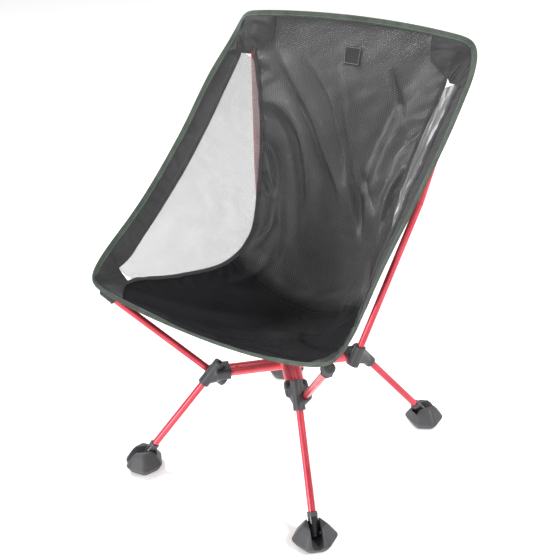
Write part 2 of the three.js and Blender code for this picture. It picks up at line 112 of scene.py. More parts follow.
def corner(side, front):
    """The places and directions of one corner, as the CAD has them."""
    ahead = -1 if front else 1
    upper = front == (side > 0)
    level = BAR_LEVEL + (BAR_STACK / 2 if upper else -BAR_STACK / 2)
    angle = math.radians(BAR_ANGLE)
    radial = np.array([side * math.sin(angle), ahead * math.cos(angle), 0])
    outward = np.array([side * math.cos(angle), -ahead * math.sin(angle), 0])

    def at(r, out, z):
        return radial * r + outward * out + np.array([0, 0, z])

    leg_angle = angle + math.radians(FRONT_TURN if front else BACK_TURN)
    leg_radial = np.array([side * math.sin(leg_angle), ahead * math.cos(leg_angle), 0])
    collar = leg_radial * COLLAR[0] + np.array([0, 0, COLLAR[1]])
    leg_exit = at(LEG_EXIT[0], 0, level + LEG_EXIT[1])
    leg = unit(collar - leg_exit)
    socket = FRONT_ARM if front else BACK_ARM
    mouth = at(socket[0], socket[1], level + socket[2])
    mirror = np.array([side, 1, 1])
    target = np.array(FRONT_TIP if front else BACK_MIDDLE) * mirror
    arm = unit(target - mouth)
    tip = np.array(FRONT_TIP if front else BACK_TIP) * mirror
    return {
        "name": ("front" if front else "back") + ("_left" if side < 0 else "_right"),
        "side": side, "front": front, "level": level, "radial": radial, "outward": outward,
        "at": at, "collar": collar, "exit": leg_exit, "leg": leg,
        "toe": unit(leg * np.array([1, 1, 0])), "hinge": collar + leg * PLUG_LENGTH,
        "mouth": mouth, "arm": arm, "middle": np.array(BACK_MIDDLE) * mirror, "tip": tip,
        "tip_axis": arm if front else unit(tip - np.array(BACK_MIDDLE) * mirror),
        "bar": "upper_bar" if upper else "lower_bar",
    }


CORNERS = [corner(-1, True), corner(1, True), corner(-1, False), corner(1, False)]


class Curve:
    """A centripetal Catmull-Rom curve, by parameter or by share of its length."""

    def __init__(self, points):
        self.points = np.array(points, float)
        self.table = np.linspace(0, 1, 2001)
        self.lengths = lengths_along(self.at(self.table))
        self.length = self.lengths[-1]

    def at(self, t):
        t = np.asarray(t, float)
        p = self.points
        place = t * (len(p) - 1)
        i = np.clip(np.floor(place).astype(int), 0, len(p) - 2)
        w = (place - i)[..., None]
        padded = np.vstack([2 * p[0] - p[1], p, 2 * p[-1] - p[-2]])
        a, b, c, d = (padded[i + k] for k in range(4))
        da, db, dc = (np.linalg.norm(y - x, axis=-1, keepdims=True) ** 0.5
                      for x, y in ((a, b), (b, c), (c, d)))
        start = ((b - a) / da - (c - a) / (da + db) + (c - b) / db) * db
        end = ((c - b) / db - (d - b) / (db + dc) + (d - c) / dc) * db
        square = 3 * (c - b) - 2 * start - end
        cube = 2 * (b - c) + start + end
        return b + start * w + square * w**2 + cube * w**3

    def share(self, t):
        return np.interp(t, self.table, self.lengths) / self.length

    def by_length(self, s):
        return self.at(np.interp(np.asarray(s) * self.length, self.lengths, self.table))


# ---------------------------------------------------------------- materials
class Material:
    """A node material with a Principled shader, and short ways to add to it."""

    def __init__(self, name, colour, roughness, metallic=0.0):
        self.made = bpy.data.materials.new(name)
        self.made.use_nodes = True
        self.tree = self.made.node_tree
        self.shader = self.tree.nodes["Principled BSDF"]
        self.output = self.tree.nodes["Material Output"]
        self.set("Base Color", (*colour, 1))
        self.set("Roughness", roughness)
        self.set("Metallic", metallic)

    def set(self, socket, value):
        if isinstance(value, bpy.types.NodeSocket):
            self.tree.links.new(value, self.shader.inputs[socket])
        else:
            self.shader.inputs[socket].default_value = value

    def node(self, kind, settings=None, **inputs):
        made = self.tree.nodes.new("ShaderNode" + kind)
        for key, value in (settings or {}).items():
            setattr(made, key, value)
        for key, value in inputs.items():
            socket = made.inputs[int(key[1:])] if key[0] == "i" and key[1:].isdigit() else made.inputs[key]
            if isinstance(value, bpy.types.NodeSocket):
                self.tree.links.new(value, socket)
            else:
                socket.default_value = value
        return made

    def math(self, operation, a, b=0.0):
        return self.node("Math", {"operation": operation}, i0=a, i1=b).outputs[0]

    def place(self, kind="Object"):
        return self.node("TexCoord").outputs[kind]

    def axes(self, kind="Object"):
        return self.node("SeparateXYZ", None, Vector=self.place(kind)).outputs

    def now(self, socket):
        return self.shader.inputs[socket].links[0].from_socket

    def scaled(self, vector, scale):
        return self.node("Mapping", None, Vector=vector, Scale=scale).outputs[0]

    def noise(self, vector, scale, detail=3.0, roughness=0.5):
        return self.node("TexNoise", None, Vector=vector, Scale=scale, Detail=detail,
                         Roughness=roughness).outputs[0]

    def ramp(self, value, low, high, to_low=0.0, to_high=1.0):
        settings = {"interpolation_type": "SMOOTHSTEP"}
        limits = {"From Min": low, "From Max": high, "To Min": to_low, "To Max": to_high}
        return self.node("MapRange", settings, Value=value, **limits).outputs[0]

    def mix(self, factor, a, b):
        made = self.node("Mix", {"data_type": "RGBA"}, i0=factor)
        for index, value in ((6, a), (7, b)):
            if isinstance(value, bpy.types.NodeSocket):
                self.tree.links.new(value, made.inputs[index])
            else:
                made.inputs[index].default_value = (*value, 1)
        return made.outputs[2]

    def bump(self, height, distance, strength=1.0, under=None):
        made = self.node("Bump", None, Height=height, Distance=distance, Strength=strength)
        if under is not None:
            self.tree.links.new(under, made.inputs["Normal"])
        self.set("Normal", made.outputs[0])
        return made.outputs[0]


def red_anodised(name, dark, light, metallic):
    """Anodised aluminium: fine lines along the drawn length under a faint haze."""
    m = Material(name, dark, 0.3, metallic)
    around = m.place("UV")
    drawn = m.noise(m.scaled(around, (900, 14, 1)), 1.0, 4)
    cloud = m.noise(m.place(), 22, 3)
    m.set("Base Color", m.mix(m.ramp(cloud, 0.3, 0.7), dark, light))
    haze = m.ramp(cloud, 0.35, 0.75, 0.0, 0.09)
    m.set("Roughness", m.math("ADD", m.ramp(drawn, 0.3, 0.75, 0.20, 0.32), haze))
    m.bump(drawn, 0.00002, 0.5)
    return m.made


def moulded(name, colour, roughness, dust=0.0):
    """Moulded nylon: a fine spark-eroded grain, with a painted highlight that makes it paler along its edges.
    """
    m = Material(name, colour, roughness)
    grain = m.noise(m.place(), 1500, 3, 0.65)
    cloud = m.noise(m.place(), 45, 4)
    # painted highlight: the convex edges, found by pointiness, are painted paler
    edge_highlight = m.ramp(m.node("NewGeometry").outputs["Pointiness"], 0.505, 0.56)
    base = m.mix(m.ramp(cloud, 0.3, 0.75), colour, tuple(c * 1.28 for c in colour))
    base = m.mix(m.math("MULTIPLY", edge_highlight, 0.35), base, tuple(min(1, c * 2.4) for c in colour))
    if dust:
        low = m.ramp(m.axes()[2], 0.010, 0.0, 0.0, dust)
        low = m.math("MULTIPLY", low, m.ramp(cloud, 0.35, 0.7))
        base = m.mix(low, base, (0.20, 0.185, 0.16))
    m.set("Base Color", base)
    m.set("Roughness", m.ramp(cloud, 0.25, 0.8, roughness - 0.06, roughness + 0.08))
    m.bump(grain, 0.00006, 0.55)
    return m.made


def gloss_black():
    m = Material("gloss_black_plug", (0.012, 0.012, 0.014), 0.22)
    scuff = m.noise(m.scaled(m.place(), (1, 1, 0.3)), 320, 5, 0.7)
    m.set("Roughness", m.ramp(scuff, 0.4, 0.72, 0.16, 0.42))
    m.bump(scuff, 0.00003, 0.3)
    return m.made


def bright_steel():
    m = Material("bright_steel", (0.56, 0.57, 0.58), 0.3, 1.0)
    lines = m.noise(m.scaled(m.place(), (1, 1, 8)), 260, 4)
    m.set("Roughness", m.ramp(lines, 0.3, 0.75, 0.2, 0.45))
    m.bump(lines, 0.00003, 0.4)
    return m.made


def weave(m, pitch):
    """Height of a plain weave: two sets of threads that pass over and under each other."""
    turns = 2 * math.pi / pitch
    across, along = m.axes("UV")[:2]
    warp = m.math("SINE", m.math("MULTIPLY", across, turns))
    weft = m.math("SINE", m.math("MULTIPLY", along, turns))
    return m.math("MULTIPLY", warp, weft)


def fabric(name, dark, light, pitch, roughness=0.72, sheen=0.25, gloss=0.45):
    """Plain-woven polyester: threads, slubs, faint mottling and a soft sheen."""
    m = Material(name, dark, roughness)
    uv = m.place("UV")
    threads = weave(m, pitch)
    slub = m.noise(m.scaled(uv, (900, 90, 1)), 1.0, 3)
    slub = m.math("ADD", slub, m.noise(m.scaled(uv, (90, 900, 1)), 1.0, 3))
    cloud = m.noise(uv, 18, 5, 0.6)
    tone = m.math("ADD", m.math("MULTIPLY", slub, 0.5), m.math("MULTIPLY", cloud, 0.9))
    m.set("Base Color", m.mix(m.ramp(tone, 0.55, 1.15), dark, light))
    m.set("Roughness", m.ramp(cloud, 0.3, 0.75, roughness - 0.07, roughness + 0.07))
    m.set("Sheen Weight", sheen)
    m.set("Sheen Roughness", 0.4)
    m.set("Specular IOR Level", gloss)
    first = m.bump(m.noise(uv, 130, 4, 0.6), 0.0009, 0.35)
    m.bump(threads, pitch * 0.22, 0.7, first)
    return m


HONEYCOMB = 0.0036         # distance between the middles of two cells
SEAT_LENGTH = 0.2185       # the seat cloth's length along its middle
BACK_GLOSS = 0.85


def back_cloth():
    """Honeycomb ripstop: three sets of ribs at 60 degrees over a plain weave, the ribs painted paler as a
    painted highlight, and painted shade near the seat, where it is also less glossy.
    """
    m = fabric("back_cloth", (0.0055, 0.0055, 0.0060), (0.0120, 0.0120, 0.0130), 0.0009, 0.38, 0.02,
               BACK_GLOSS)
    uv = m.place("UV")
    turns = 4 * math.pi / (math.sqrt(3) * HONEYCOMB)
    waves = []
    for degrees in (15, 75, 135):
        angle = math.radians(degrees)
        way = (math.cos(angle), math.sin(angle), 0)
        far = m.node("VectorMath", {"operation": "DOT_PRODUCT"}, i0=uv, i1=way).outputs["Value"]
        waves.append(m.math("COSINE", m.math("MULTIPLY", far, turns)))
    cells = m.math("ADD", m.math("ADD", waves[0], waves[1]), waves[2])
    rib = m.ramp(cells, -0.9, 0.6, 1.0, 0.0)
    # painted highlight: the ribs' colour is painted paler to stand for their glints; the ribs' bump and gloss
    # are real
    ribbed = m.mix(m.math("MULTIPLY", rib, 0.6), m.now("Base Color"), (0.048, 0.048, 0.052))
    # painted shade: the back cloth is painted darker, and made less glossy, just above the seat, fading out
    # over about 40 mm
    seat_shade_and_dull = m.math("ADD", m.axes("UV")[1], m.math("MULTIPLY", m.noise(uv, 14, 3), 0.03))
    seat_shade_and_dull = m.ramp(seat_shade_and_dull, SEAT_LENGTH + 0.012, SEAT_LENGTH + 0.052, 1.0, 0.0)
    m.set("Base Color", m.mix(m.math("MULTIPLY", seat_shade_and_dull, 0.85), ribbed, (0.0045, 0.0042, 0.0055)))
    m.set("Specular IOR Level", m.math("SUBTRACT", BACK_GLOSS, m.math("MULTIPLY", seat_shade_and_dull, 0.62)))
    m.set("Roughness", m.math("SUBTRACT", m.now("Roughness"), m.math("MULTIPLY", rib, 0.16)))
    m.bump(rib, 0.0004, 0.55, m.now("Normal"))
    return m.made


NET = 0.0013               # distance between two holes of the side net
NET_PALE = (0.27, 0.27, 0.272)


def side_net():
    """Sheer knitted net: pale fine threads round small holes, bunched on the right side."""
    m = Material("side_net", NET_PALE, 0.7)
    uv = m.place("UV")
    threads = weave(m, NET * 2)
    hole = m.ramp(m.math("ABSOLUTE", threads), 0.04, 0.42)
    cloud = m.noise(uv, 30, 3)
    bunched = m.noise(m.scaled(uv, (110, 9, 1)), 1.0, 3)
    right = m.ramp(m.axes()[0], 0.05, 0.10)
    streak = m.math("MULTIPLY", m.math("MULTIPLY", m.ramp(bunched, 0.40, 0.56), right), 0.55)
    cover = m.math("SUBTRACT", 0.62, m.math("MULTIPLY", hole, 0.24))
    cover = m.math("ADD", cover, streak)
    shaded = m.math("MULTIPLY", m.ramp(bunched, 0.34, 0.56, 0.25, 1.0), right)
    m.set("Base Color", m.mix(m.math("MULTIPLY", shaded, 0.85), NET_PALE, (0.030, 0.030, 0.032)))
    m.set("Alpha", m.math("ADD", cover, m.ramp(cloud, 0.3, 0.7, -0.012, 0.012)))
    m.set("Sheen Weight", 0.3)
    m.bump(threads, 0.0002, 0.5)
    return m.made


TAPE_RIB = 0.0009


def tape():
    """Grosgrain: ribs across the tape, paler where the light rakes them."""
    m = Material("binding_tape", (0.080, 0.100, 0.080), 0.78)
    ribs = m.math("SINE", m.math("MULTIPLY", m.axes("UV")[1], 2 * math.pi / TAPE_RIB))
    cloud = m.noise(m.place(), 60, 4)
    base = m.mix(m.ramp(cloud, 0.3, 0.7), (0.055, 0.068, 0.055), (0.090, 0.108, 0.090))
    m.set("Base Color", m.mix(m.ramp(ribs, -0.8, 0.8, 0.35, 0.0), base, (0.035, 0.052, 0.041)))
    m.set("Sheen Weight", 0.12)
    m.set("Sheen Roughness", 0.45)
    m.set("Sheen Tint", (0.75, 0.9, 0.78, 1))
    m.set("Specular IOR Level", 0.3)
    m.bump(ribs, 0.00018, 0.6)
    return m.made


def thread(name, colour):
    """Twisted sewing thread."""
    m = Material(name, colour, 0.6)
    twist = m.noise(m.place(), 2500, 2)
    light = tuple(min(1, c * 1.7) for c in colour)
    m.set("Base Color", m.mix(m.ramp(twist, 0.35, 0.7), colour, light))
    m.set("Sheen Weight", 0.3)
    m.bump(twist, 0.0001, 0.5)
    return m.made


def elastic():
    """Braided cover of a shock cord: two sets of slanting strands."""
    m = Material("elastic_cord", (0.02, 0.02, 0.022), 0.75)
    across, along = m.axes("UV")[:2]
    turn = m.math("MULTIPLY", across, 2 * math.pi * 700)
    rise = m.math("MULTIPLY", along, 2 * math.pi * 420)
    one = m.math("SINE", m.math("ADD", turn, rise))
    other = m.math("SINE", m.math("SUBTRACT", turn, rise))
    braid = m.math("MAXIMUM", one, other)
    m.set("Base Color", m.mix(m.ramp(braid, 0.2, 1.0), (0.008, 0.008, 0.009), (0.045, 0.045, 0.05)))
    m.bump(braid, 0.0003, 0.8)
    return m.made


RED = red_anodised("red_anodised_tube", (0.53, 0.050, 0.070), (0.62, 0.070, 0.095), 0.55)
# the cross bars' copy of the red is paler and less metallic than the tubes'; its paler colour is painted
# light for bars that sit in the seat's shadow
RED_BAR_PAINTED_LIGHT = red_anodised("red_anodised_bar_painted_light", (0.86, 0.105, 0.135), (0.92, 0.150, 0.185), 0.12)
HUB = moulded("hub_nylon", (0.040, 0.041, 0.044), 0.46)
FOOT = moulded("foot_nylon", (0.052, 0.053, 0.056), 0.50, 0.35)
COLLAR_GREY = moulded("collar_nylon", (0.050, 0.051, 0.054), 0.42)
BLACK = gloss_black()
STEEL = bright_steel()
SEAT = fabric("seat_cloth", (0.0032, 0.0029, 0.0040), (0.0062, 0.0057, 0.0075), 0.0009, 0.46, 0.01, 0.20).made
BAND = fabric("band_cloth", (0.023, 0.023, 0.0245), (0.045, 0.045, 0.0475), 0.0010, 0.66, 0.08, 0.38).made
BACK = back_cloth()
NET_CLOTH = side_net()
TAPE = tape()
PATCH = fabric("patch_cloth", (0.006, 0.006, 0.007), (0.012, 0.012, 0.013), 0.0006, 0.6, 0.1, 0.5).made
DARK_THREAD = thread("dark_thread", (0.03, 0.031, 0.034))
GREEN_THREAD = thread("green_thread", (0.12, 0.165, 0.135))
PALE_THREAD = thread("pale_thread", (0.42, 0.43, 0.43))
ELASTIC = elastic()


# ---------------------------------------------------------------- mesh building
def place(points):
    return (np.asarray(points, float).reshape(-1, 3) + [0, PIVOT_Y, 0]) / 1000


def linked(name, data):
    """A new object with this mesh, light or camera, linked to the scene."""
    obj = bpy.data.objects.new(name, data)
    bpy.context.scene.collection.objects.link(obj)
    return obj


def ring_faces(rings, sides, closed=False):
    """Quads between rings of points that follow one another in a list."""
    faces = []
    for k in range(rings if closed else rings - 1):
        a, b = k * sides, (k + 1) % rings * sides
        faces += [(a + i, a + (i + 1) % sides, b + (i + 1) % sides, b + i) for i in range(sides)]
    return faces


def end_caps(rings, sides):
    last = (rings - 1) * sides
    return [tuple(range(sides - 1, -1, -1)), tuple(range(last, last + sides))]


def grid_faces(rows, columns):
    """Quads between neighbours of a grid of points, row after row."""
    r, c = np.meshgrid(np.arange(rows - 1), np.arange(columns - 1), indexing="ij")
    a = (r * columns + c).ravel()
    return np.stack([a, a + 1, a + columns + 1, a + columns], 1)


def make(name, points, faces, materials, uv=None, sharp=None, indexes=None):
    """A mesh object from millimetre points; uv is one pair of metres for each point."""
    mesh = bpy.data.meshes.new(name)
    mesh.from_pydata(place(points).tolist(), [], [list(map(int, f)) for f in faces])
    for material in materials if isinstance(materials, (list, tuple)) else [materials]:
        mesh.materials.append(material)
    if indexes is not None:
        mesh.polygons.foreach_set("material_index", np.asarray(indexes, np.int32))
    if uv is not None:
        corners = np.zeros(len(mesh.loops), np.int32)
        mesh.loops.foreach_get("vertex_index", corners)
        layer = mesh.uv_layers.new(name="flat")
        layer.data.foreach_set("uv", np.asarray(uv, np.float32)[corners].ravel())
    mesh.shade_smooth()
    if sharp:
        mesh.set_sharp_from_angle(angle=math.radians(sharp))
    return linked(name, mesh)


def frame_of(axis):
    """Two directions square to an axis and to each other."""
    axis = unit(axis)
    other = np.array([0, 0, 1.0]) if abs(axis[2]) < 0.9 else np.array([1.0, 0, 0])
    first = unit(np.cross(other, axis))
    return first, np.cross(axis, first)


def turned(name, profile, origin, axis, materials, sides=FINE, sharp=35, loop=False, indexes=None):
    """A turned piece: profile points are (radius, distance along the axis)."""
    first, second = frame_of(axis)
    axis = unit(axis)
    turn = np.arange(sides) / sides * 2 * math.pi
    circle = np.outer(np.cos(turn), first) + np.outer(np.sin(turn), second)
    rings = []
    uv = []
    for (radius, height), gone in zip(profile, lengths_along(profile)):
        rings.append(np.asarray(origin) + axis * height + circle * max(radius, 1e-4))
        uv.append(np.stack([turn * max(radius, 1.0) / 1000, np.full(sides, gone / 1000)], 1))
    faces = ring_faces(len(profile), sides, loop)
    kinds = [indexes[k // sides] if indexes else 0 for k in range(len(faces))]
    obj = make(name, np.vstack(rings), faces, materials, np.vstack(uv), sharp, kinds)
    tidy(obj)
    return obj


def tidy(obj):
    """Merges doubled points and turns the faces outwards."""
    work = bmesh.new()
    work.from_mesh(obj.data)
    bmesh.ops.remove_doubles(work, verts=work.verts, dist=2e-6)
    bmesh.ops.recalc_face_normals(work, faces=work.faces)
    work.to_mesh(obj.data)
    work.free()


def pipe(name, start, end, outer, inner, material, sides=FINE):
    """A straight tube with a small chamfer at each end."""
    start, end = np.asarray(start, float), np.asarray(end, float)
    length = np.linalg.norm(end - start)
    chamfer = 0.35
    profile = [(inner, 0), (outer - chamfer, 0), (outer, chamfer)]
    profile += [(outer, chamfer + (length - 2 * chamfer) * k / 12) for k in range(1, 12)]
    profile += [(outer, length - chamfer), (outer - chamfer, length), (inner, length)]
    return turned(name, profile, start, end - start, material, sides, 30, loop=True)


def sweep(name, line, radius, material, sides=10, closed=False):
    """A round strand along a line of points."""
    line = np.asarray(line, float)
    ahead = np.roll(line, -1, 0) - np.roll(line, 1, 0)
    if not closed:
        ahead[0] = line[1] - line[0]
        ahead[-1] = line[-1] - line[-2]
    ahead = unit(ahead)
    first = frame_of(ahead[0])[0]
    turn = np.arange(sides) / sides * 2 * math.pi
    rings = []
    uv = []
    for point, way, gone in zip(line, ahead, lengths_along(line)):
        first = unit(first - way * np.dot(first, way))
        second = np.cross(way, first)
        rings.append(point + radius * (np.outer(np.cos(turn), first) + np.outer(np.sin(turn), second)))
        uv.append(np.stack([turn * radius / 1000, np.full(sides, gone / 1000)], 1))
    faces = ring_faces(len(line), sides, closed)
    if not closed:
        faces += end_caps(len(line), sides)
    return make(name, np.vstack(rings), faces, material, np.vstack(uv), 60)


def finished(obj, *modifiers):
    """Applies modifiers, given as (type, settings), and leaves a plain mesh."""
    for kind, settings in modifiers:
        added = obj.modifiers.new(kind.lower(), kind)
        for key, value in settings.items():
            setattr(added, key, value)
    graph = bpy.context.evaluated_depsgraph_get()
    graph.update()
    mesh = bpy.data.meshes.new_from_object(
        obj.evaluated_get(graph), preserve_all_data_layers=True, depsgraph=graph)
    obj.modifiers.clear()
    obj.data = mesh
    return obj


def thickened(obj, millimetres, offset=0.0):
    return finished(obj, ("SOLIDIFY", {"thickness": millimetres / 1000, "offset": offset}))


def drop(*objects):
    for obj in objects:
        bpy.data.objects.remove(obj)


def seated(obj, body, slot, *nodes):
    """A piece rides on a body and stands for any CAD nodes given; slot is not used."""
    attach(obj, body)
    if nodes:
        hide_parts(*nodes)
    return obj


def whole_hull(node):
    """The convex hull of a CAD node."""
    hull = bmesh.new()
    hull.from_mesh(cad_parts[node].data)
    found = bmesh.ops.convex_hull(hull, input=hull.verts)
    loose = {v for key in ("geom_interior", "geom_unused") for v in found[key]
             if isinstance(v, bmesh.types.BMVert)}
    bmesh.ops.delete(hull, geom=list(loose), context="VERTS")
    bmesh.ops.recalc_face_normals(hull, faces=hull.faces)
    mesh = bpy.data.meshes.new("hull")
    hull.to_mesh(mesh)
    hull.free()
    return linked("hull", mesh)


def channel_fillers(node, spot):
    """The two lower corners of a foot's slot, which the moulded foot rounds to a U."""
    whole = whole_hull(node)
    across = np.cross([0, 0, 1], spot["toe"])
    up = np.array([0, 0, 1.0])
    outer = FOOT_SLOT + 1.5
    outline = [(FOOT_SLOT * math.cos(t), -FOOT_SLOT * math.sin(t)) for t in np.linspace(math.pi / 2, 0, 9)]
    outline += [(outer, 0), (outer, -outer), (0, -outer)]
    count = len(outline)
    fillers = []
    for side in (-1, 1):
        points = []
        for far in (3.0, 45.0):
            start = spot["hinge"] + spot["toe"] * far
            points += [start + across * side * x + up * z for x, z in outline]
        faces = [tuple(range(count)), tuple(range(2 * count - 1, count - 1, -1))] + ring_faces(2, count)
        filler = make("filler", points, faces, FOOT)
        tidy(filler)
        cut = {"operation": "INTERSECT", "object": whole, "solver": "EXACT"}
        fillers.append(finished(filler, ("BOOLEAN", cut)))
    drop(whole)
    return fillers


def softened(name, node, rounds, material, extra=()):
    """A moulded copy of a CAD solid: remeshed finely and rounded on every edge."""
    work = bmesh.new()
    work.from_mesh(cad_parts[node].data)
    for obj in extra:
        work.from_mesh(obj.data)
    drop(*extra)
    mesh = bpy.data.meshes.new(name)
    work.to_mesh(mesh)
    work.free()
    mesh.materials.append(material)
    obj = linked(name, mesh)
    if not extra:
        tidy(obj)
    obj = finished(
        obj,
        ("REMESH", {"mode": "VOXEL", "voxel_size": MOULD_VOXEL / 1000, "use_smooth_shade": True}),
        ("SMOOTH", {"factor": 0.5, "iterations": rounds}),
    )
    if not obj.data.materials:
        obj.data.materials.append(material)
    for face in obj.data.polygons:
        face.material_index = 0
    return obj


# ---------------------------------------------------------------- camera, light and floor
CAMERA = {"azimuth": 36.8, "elevation": 26.0, "roll": -1.8, "distance": 1.5, "lens": 65.56}
TARGET = Vector((-0.0035, -0.0176, 0.3027))
LIT_POINT = Vector((0, 0, 0.3))
FLOOR_HALF = 14.0


def add_camera():
    data = bpy.data.cameras.new("camera")
    data.sensor_width = 36
    data.lens = CAMERA["lens"]
    obj = linked("camera", data)
    a, e, r = (math.radians(CAMERA[k]) for k in ("azimuth", "elevation", "roll"))
    back = Vector((math.sin(a) * math.cos(e), -math.cos(a) * math.cos(e), math.sin(e)))
    right = Vector((math.cos(a), math.sin(a), 0))
    up = right.cross(-back)
    level = math.cos(r) * right + math.sin(r) * up
    upright = -math.sin(r) * right + math.cos(r) * up
    turn = Matrix((level, upright, back)).transposed().to_4x4()
    obj.matrix_world = Matrix.Translation(TARGET + back * CAMERA["distance"]) @ turn
    bpy.context.scene.camera = obj


def add_light(name, place_at, size, power):
    data = bpy.data.lights.new(name, "AREA")
    data.shape = "DISK"
    data.size = size
    data.energy = power
    obj = linked(name, data)
    obj.location = place_at
    obj.rotation_euler = (LIT_POINT - obj.location).to_track_quat("-Z", "Y").to_euler()


def add_stage():
    world = bpy.data.worlds.new("studio")
    world.use_nodes = True
    sky = world.node_tree.nodes["Background"]
    sky.inputs["Color"].default_value = (1, 1, 1, 1)
    sky.inputs["Strength"].default_value = 0.60
    bpy.context.scene.world = world
    bpy.context.scene.view_settings.view_transform = "Standard"
    mesh = bpy.data.meshes.new("floor")
    square = [(x * FLOOR_HALF, y * FLOOR_HALF, 0) for x, y in ((-1, -1), (1, -1), (1, 1), (-1, 1))]
    mesh.from_pydata(square, [], [(0, 1, 2, 3)])
    floor = linked("floor", mesh)
    floor.location.z = -0.0005
    paper = Material("paper_floor", (0.96, 0.96, 0.96), 0.9)
    paper.set("Emission Color", (1, 1, 1, 1))
    paper.set("Emission Strength", 0.32)
    mesh.materials.append(paper.made)
    add_light("softbox_over", (-1.7, 0.10, 2.2), 0.55, 56)
    add_light("softbox_right", (1.9, 0.0, 2.0), 0.6, 40)
    add_light("softbox_front", (-0.5, -2.5, 0.35), 1.0, 36)


add_camera()
add_stage()


# ---------------------------------------------------------------- cross bars and the centre rivet
def bar_section():
    """Round lobes at the edges, then a groove and a flat web between them, above and below."""
    lobe_r = BAR_THICK / 2
    lobe_at = BAR_WIDTH / 2 - lobe_r
    web = lobe_r - 0.7
    lobe = []
    for k in range(17):
        turn = math.pi / 2 * (1 - k / 8)
        lobe.append((lobe_at + lobe_r * math.cos(turn), lobe_r * math.sin(turn)))
    top = []
    for k in range(9):
        across = lobe_at - 3.4 + 1.6 * (1 - k / 4)
        depth = 1.25 * (1 + math.cos(math.pi * (k / 4 - 1))) / 2
        top.append((across, web + (lobe_r - web) * max(0, 1 - k / 4) - depth))
    upper = [(-x, z) for x, z in top] + top[::-1]
    lower = [(x, -z) for x, z in upper[::-1]]
    return upper + lobe + lower + [(-x, -z) for x, z in lobe]


def drill(radius, base, sides):
    """A cutter for a round hole, standing on a point."""
    profile = [(0, 0), (radius, 0), (radius, 2 * BAR_THICK), (0, 2 * BAR_THICK)]
    return turned("cutter", profile, base, (0, 0, 1), RED_BAR_PAINTED_LIGHT, sides)


def cross_bar(name, spot):
    section = bar_section()
    across = np.cross([0, 0, 1], spot["radial"])
    stations = np.linspace(-BAR_END, BAR_END, 25)
    points = []
    uv = []
    gone = lengths_along(section)
    for far in stations:
        for (x, z), turn in zip(section, gone):
            points.append(spot["at"](far, 0, spot["level"] + z) + across * x)
            uv.append((turn / 1000, far / 1000))
    count = len(section)
    last = (len(stations) - 1) * count
    faces = [tuple(range(count)), tuple(range(last, last + count))] + ring_faces(len(stations), count)
    bar = make(name, points, faces, RED_BAR_PAINTED_LIGHT, uv, 40)
    tidy(bar)
    below = spot["level"] - BAR_THICK
    cutters = []
    for side in (-1, 1):
        for shift in (0.0, 1.3, 2.6):
            cutters.append(drill(1.8, spot["at"](side * (BAR_HOLE_AT + shift), 0, below), 24))
    cutters.append(drill(3.6, np.array([0, 0, below]), 32))
    for cutter in cutters:
        finished(bar, ("BOOLEAN", {"operation": "DIFFERENCE", "object": cutter, "solver": "EXACT"}))
    drop(*cutters)
    bar.data.set_sharp_from_angle(angle=math.radians(40))
    return bar


def add_bars():
    for name, spot in (("lower", CORNERS[0]), ("upper", CORNERS[1])):
        seated(cross_bar(f"bar_{name}_tube", spot), f"{name}_bar", "red_tube", f"cross_bar_{name}")
    half = BAR_STACK / 2 + BAR_THICK / 2 + 0.3
    top, foot = BAR_LEVEL + half, BAR_LEVEL - half
    dome = [(RIVET_R * math.sin(t), 3.0 * math.cos(t)) for t in np.linspace(0, math.pi / 2, 9)]
    profile = [(r, top + h) for r, h in dome]
    profile += [(RIVET_R, top), (RIVET_SHANK, top), (RIVET_SHANK, foot), (RIVET_R, foot)]
    profile += [(r, foot - h) for r, h in reversed(dome)]
    rivet = turned("pivot_rivet_turned", profile, (0, 0, 0), (0, 0, 1), STEEL)
    seated(rivet, "root", "steel", "pivot_rivet")
    half = (BAR_STACK - BAR_THICK) / 2 - 0.35
    washer = [(3.7, -half), (WASHER_R - 0.6, -half), (WASHER_R, -half + 0.5)]
    washer += [(r, -h) for r, h in reversed(washer)]
    washer = turned("pivot_spacer_turned", washer, (0, 0, BAR_LEVEL), (0, 0, 1), BLACK, loop=True)
    seated(washer, "root", "black_plastic", "pivot_spacer")


# ---------------------------------------------------------------- legs, arms, hubs and feet
def ribbed_plug(spot):
    """The glossy plug at a leg's end, with its paler knurled collar ring."""
    r = PLUG_R + 0.7
    profile = [(0, -18), (4.0, -18), (4.2, 0), (7.2, 0.0), (7.5, 0.4), (7.5, 1.6), (7.1, 1.9),
               (7.1, 3.0), (7.5, 3.3), (7.5, 4.6), (7.2, 5.1), (r, 6.4), (r, 7.2)]
    profile += [(r, 7.2 + (PLUG_LENGTH - 6.2) * k / 6) for k in range(1, 7)]
    for t in np.linspace(0.15, math.pi / 2, 8):
        profile.append((r * math.cos(t), PLUG_LENGTH + 1 + (r * 0.8) * math.sin(t)))
    kinds = [0 if k < 2 or k > 10 else 1 for k in range(len(profile))]
    return turned(f"plug_{spot['name']}", profile, spot["collar"], spot["leg"], [BLACK, COLLAR_GREY],
                  indexes=kinds)


def stretching_cord(name, start, end, node):
    """A shock cord from its hub end along its tube, standing for a CAD node; it is left on no body."""
    steps = 60
    line = [start + (end - start) * k / steps for k in range(steps + 1)]
    obj = sweep(name, line, CORD_R, ELASTIC, 14)
    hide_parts(node)
    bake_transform(obj)


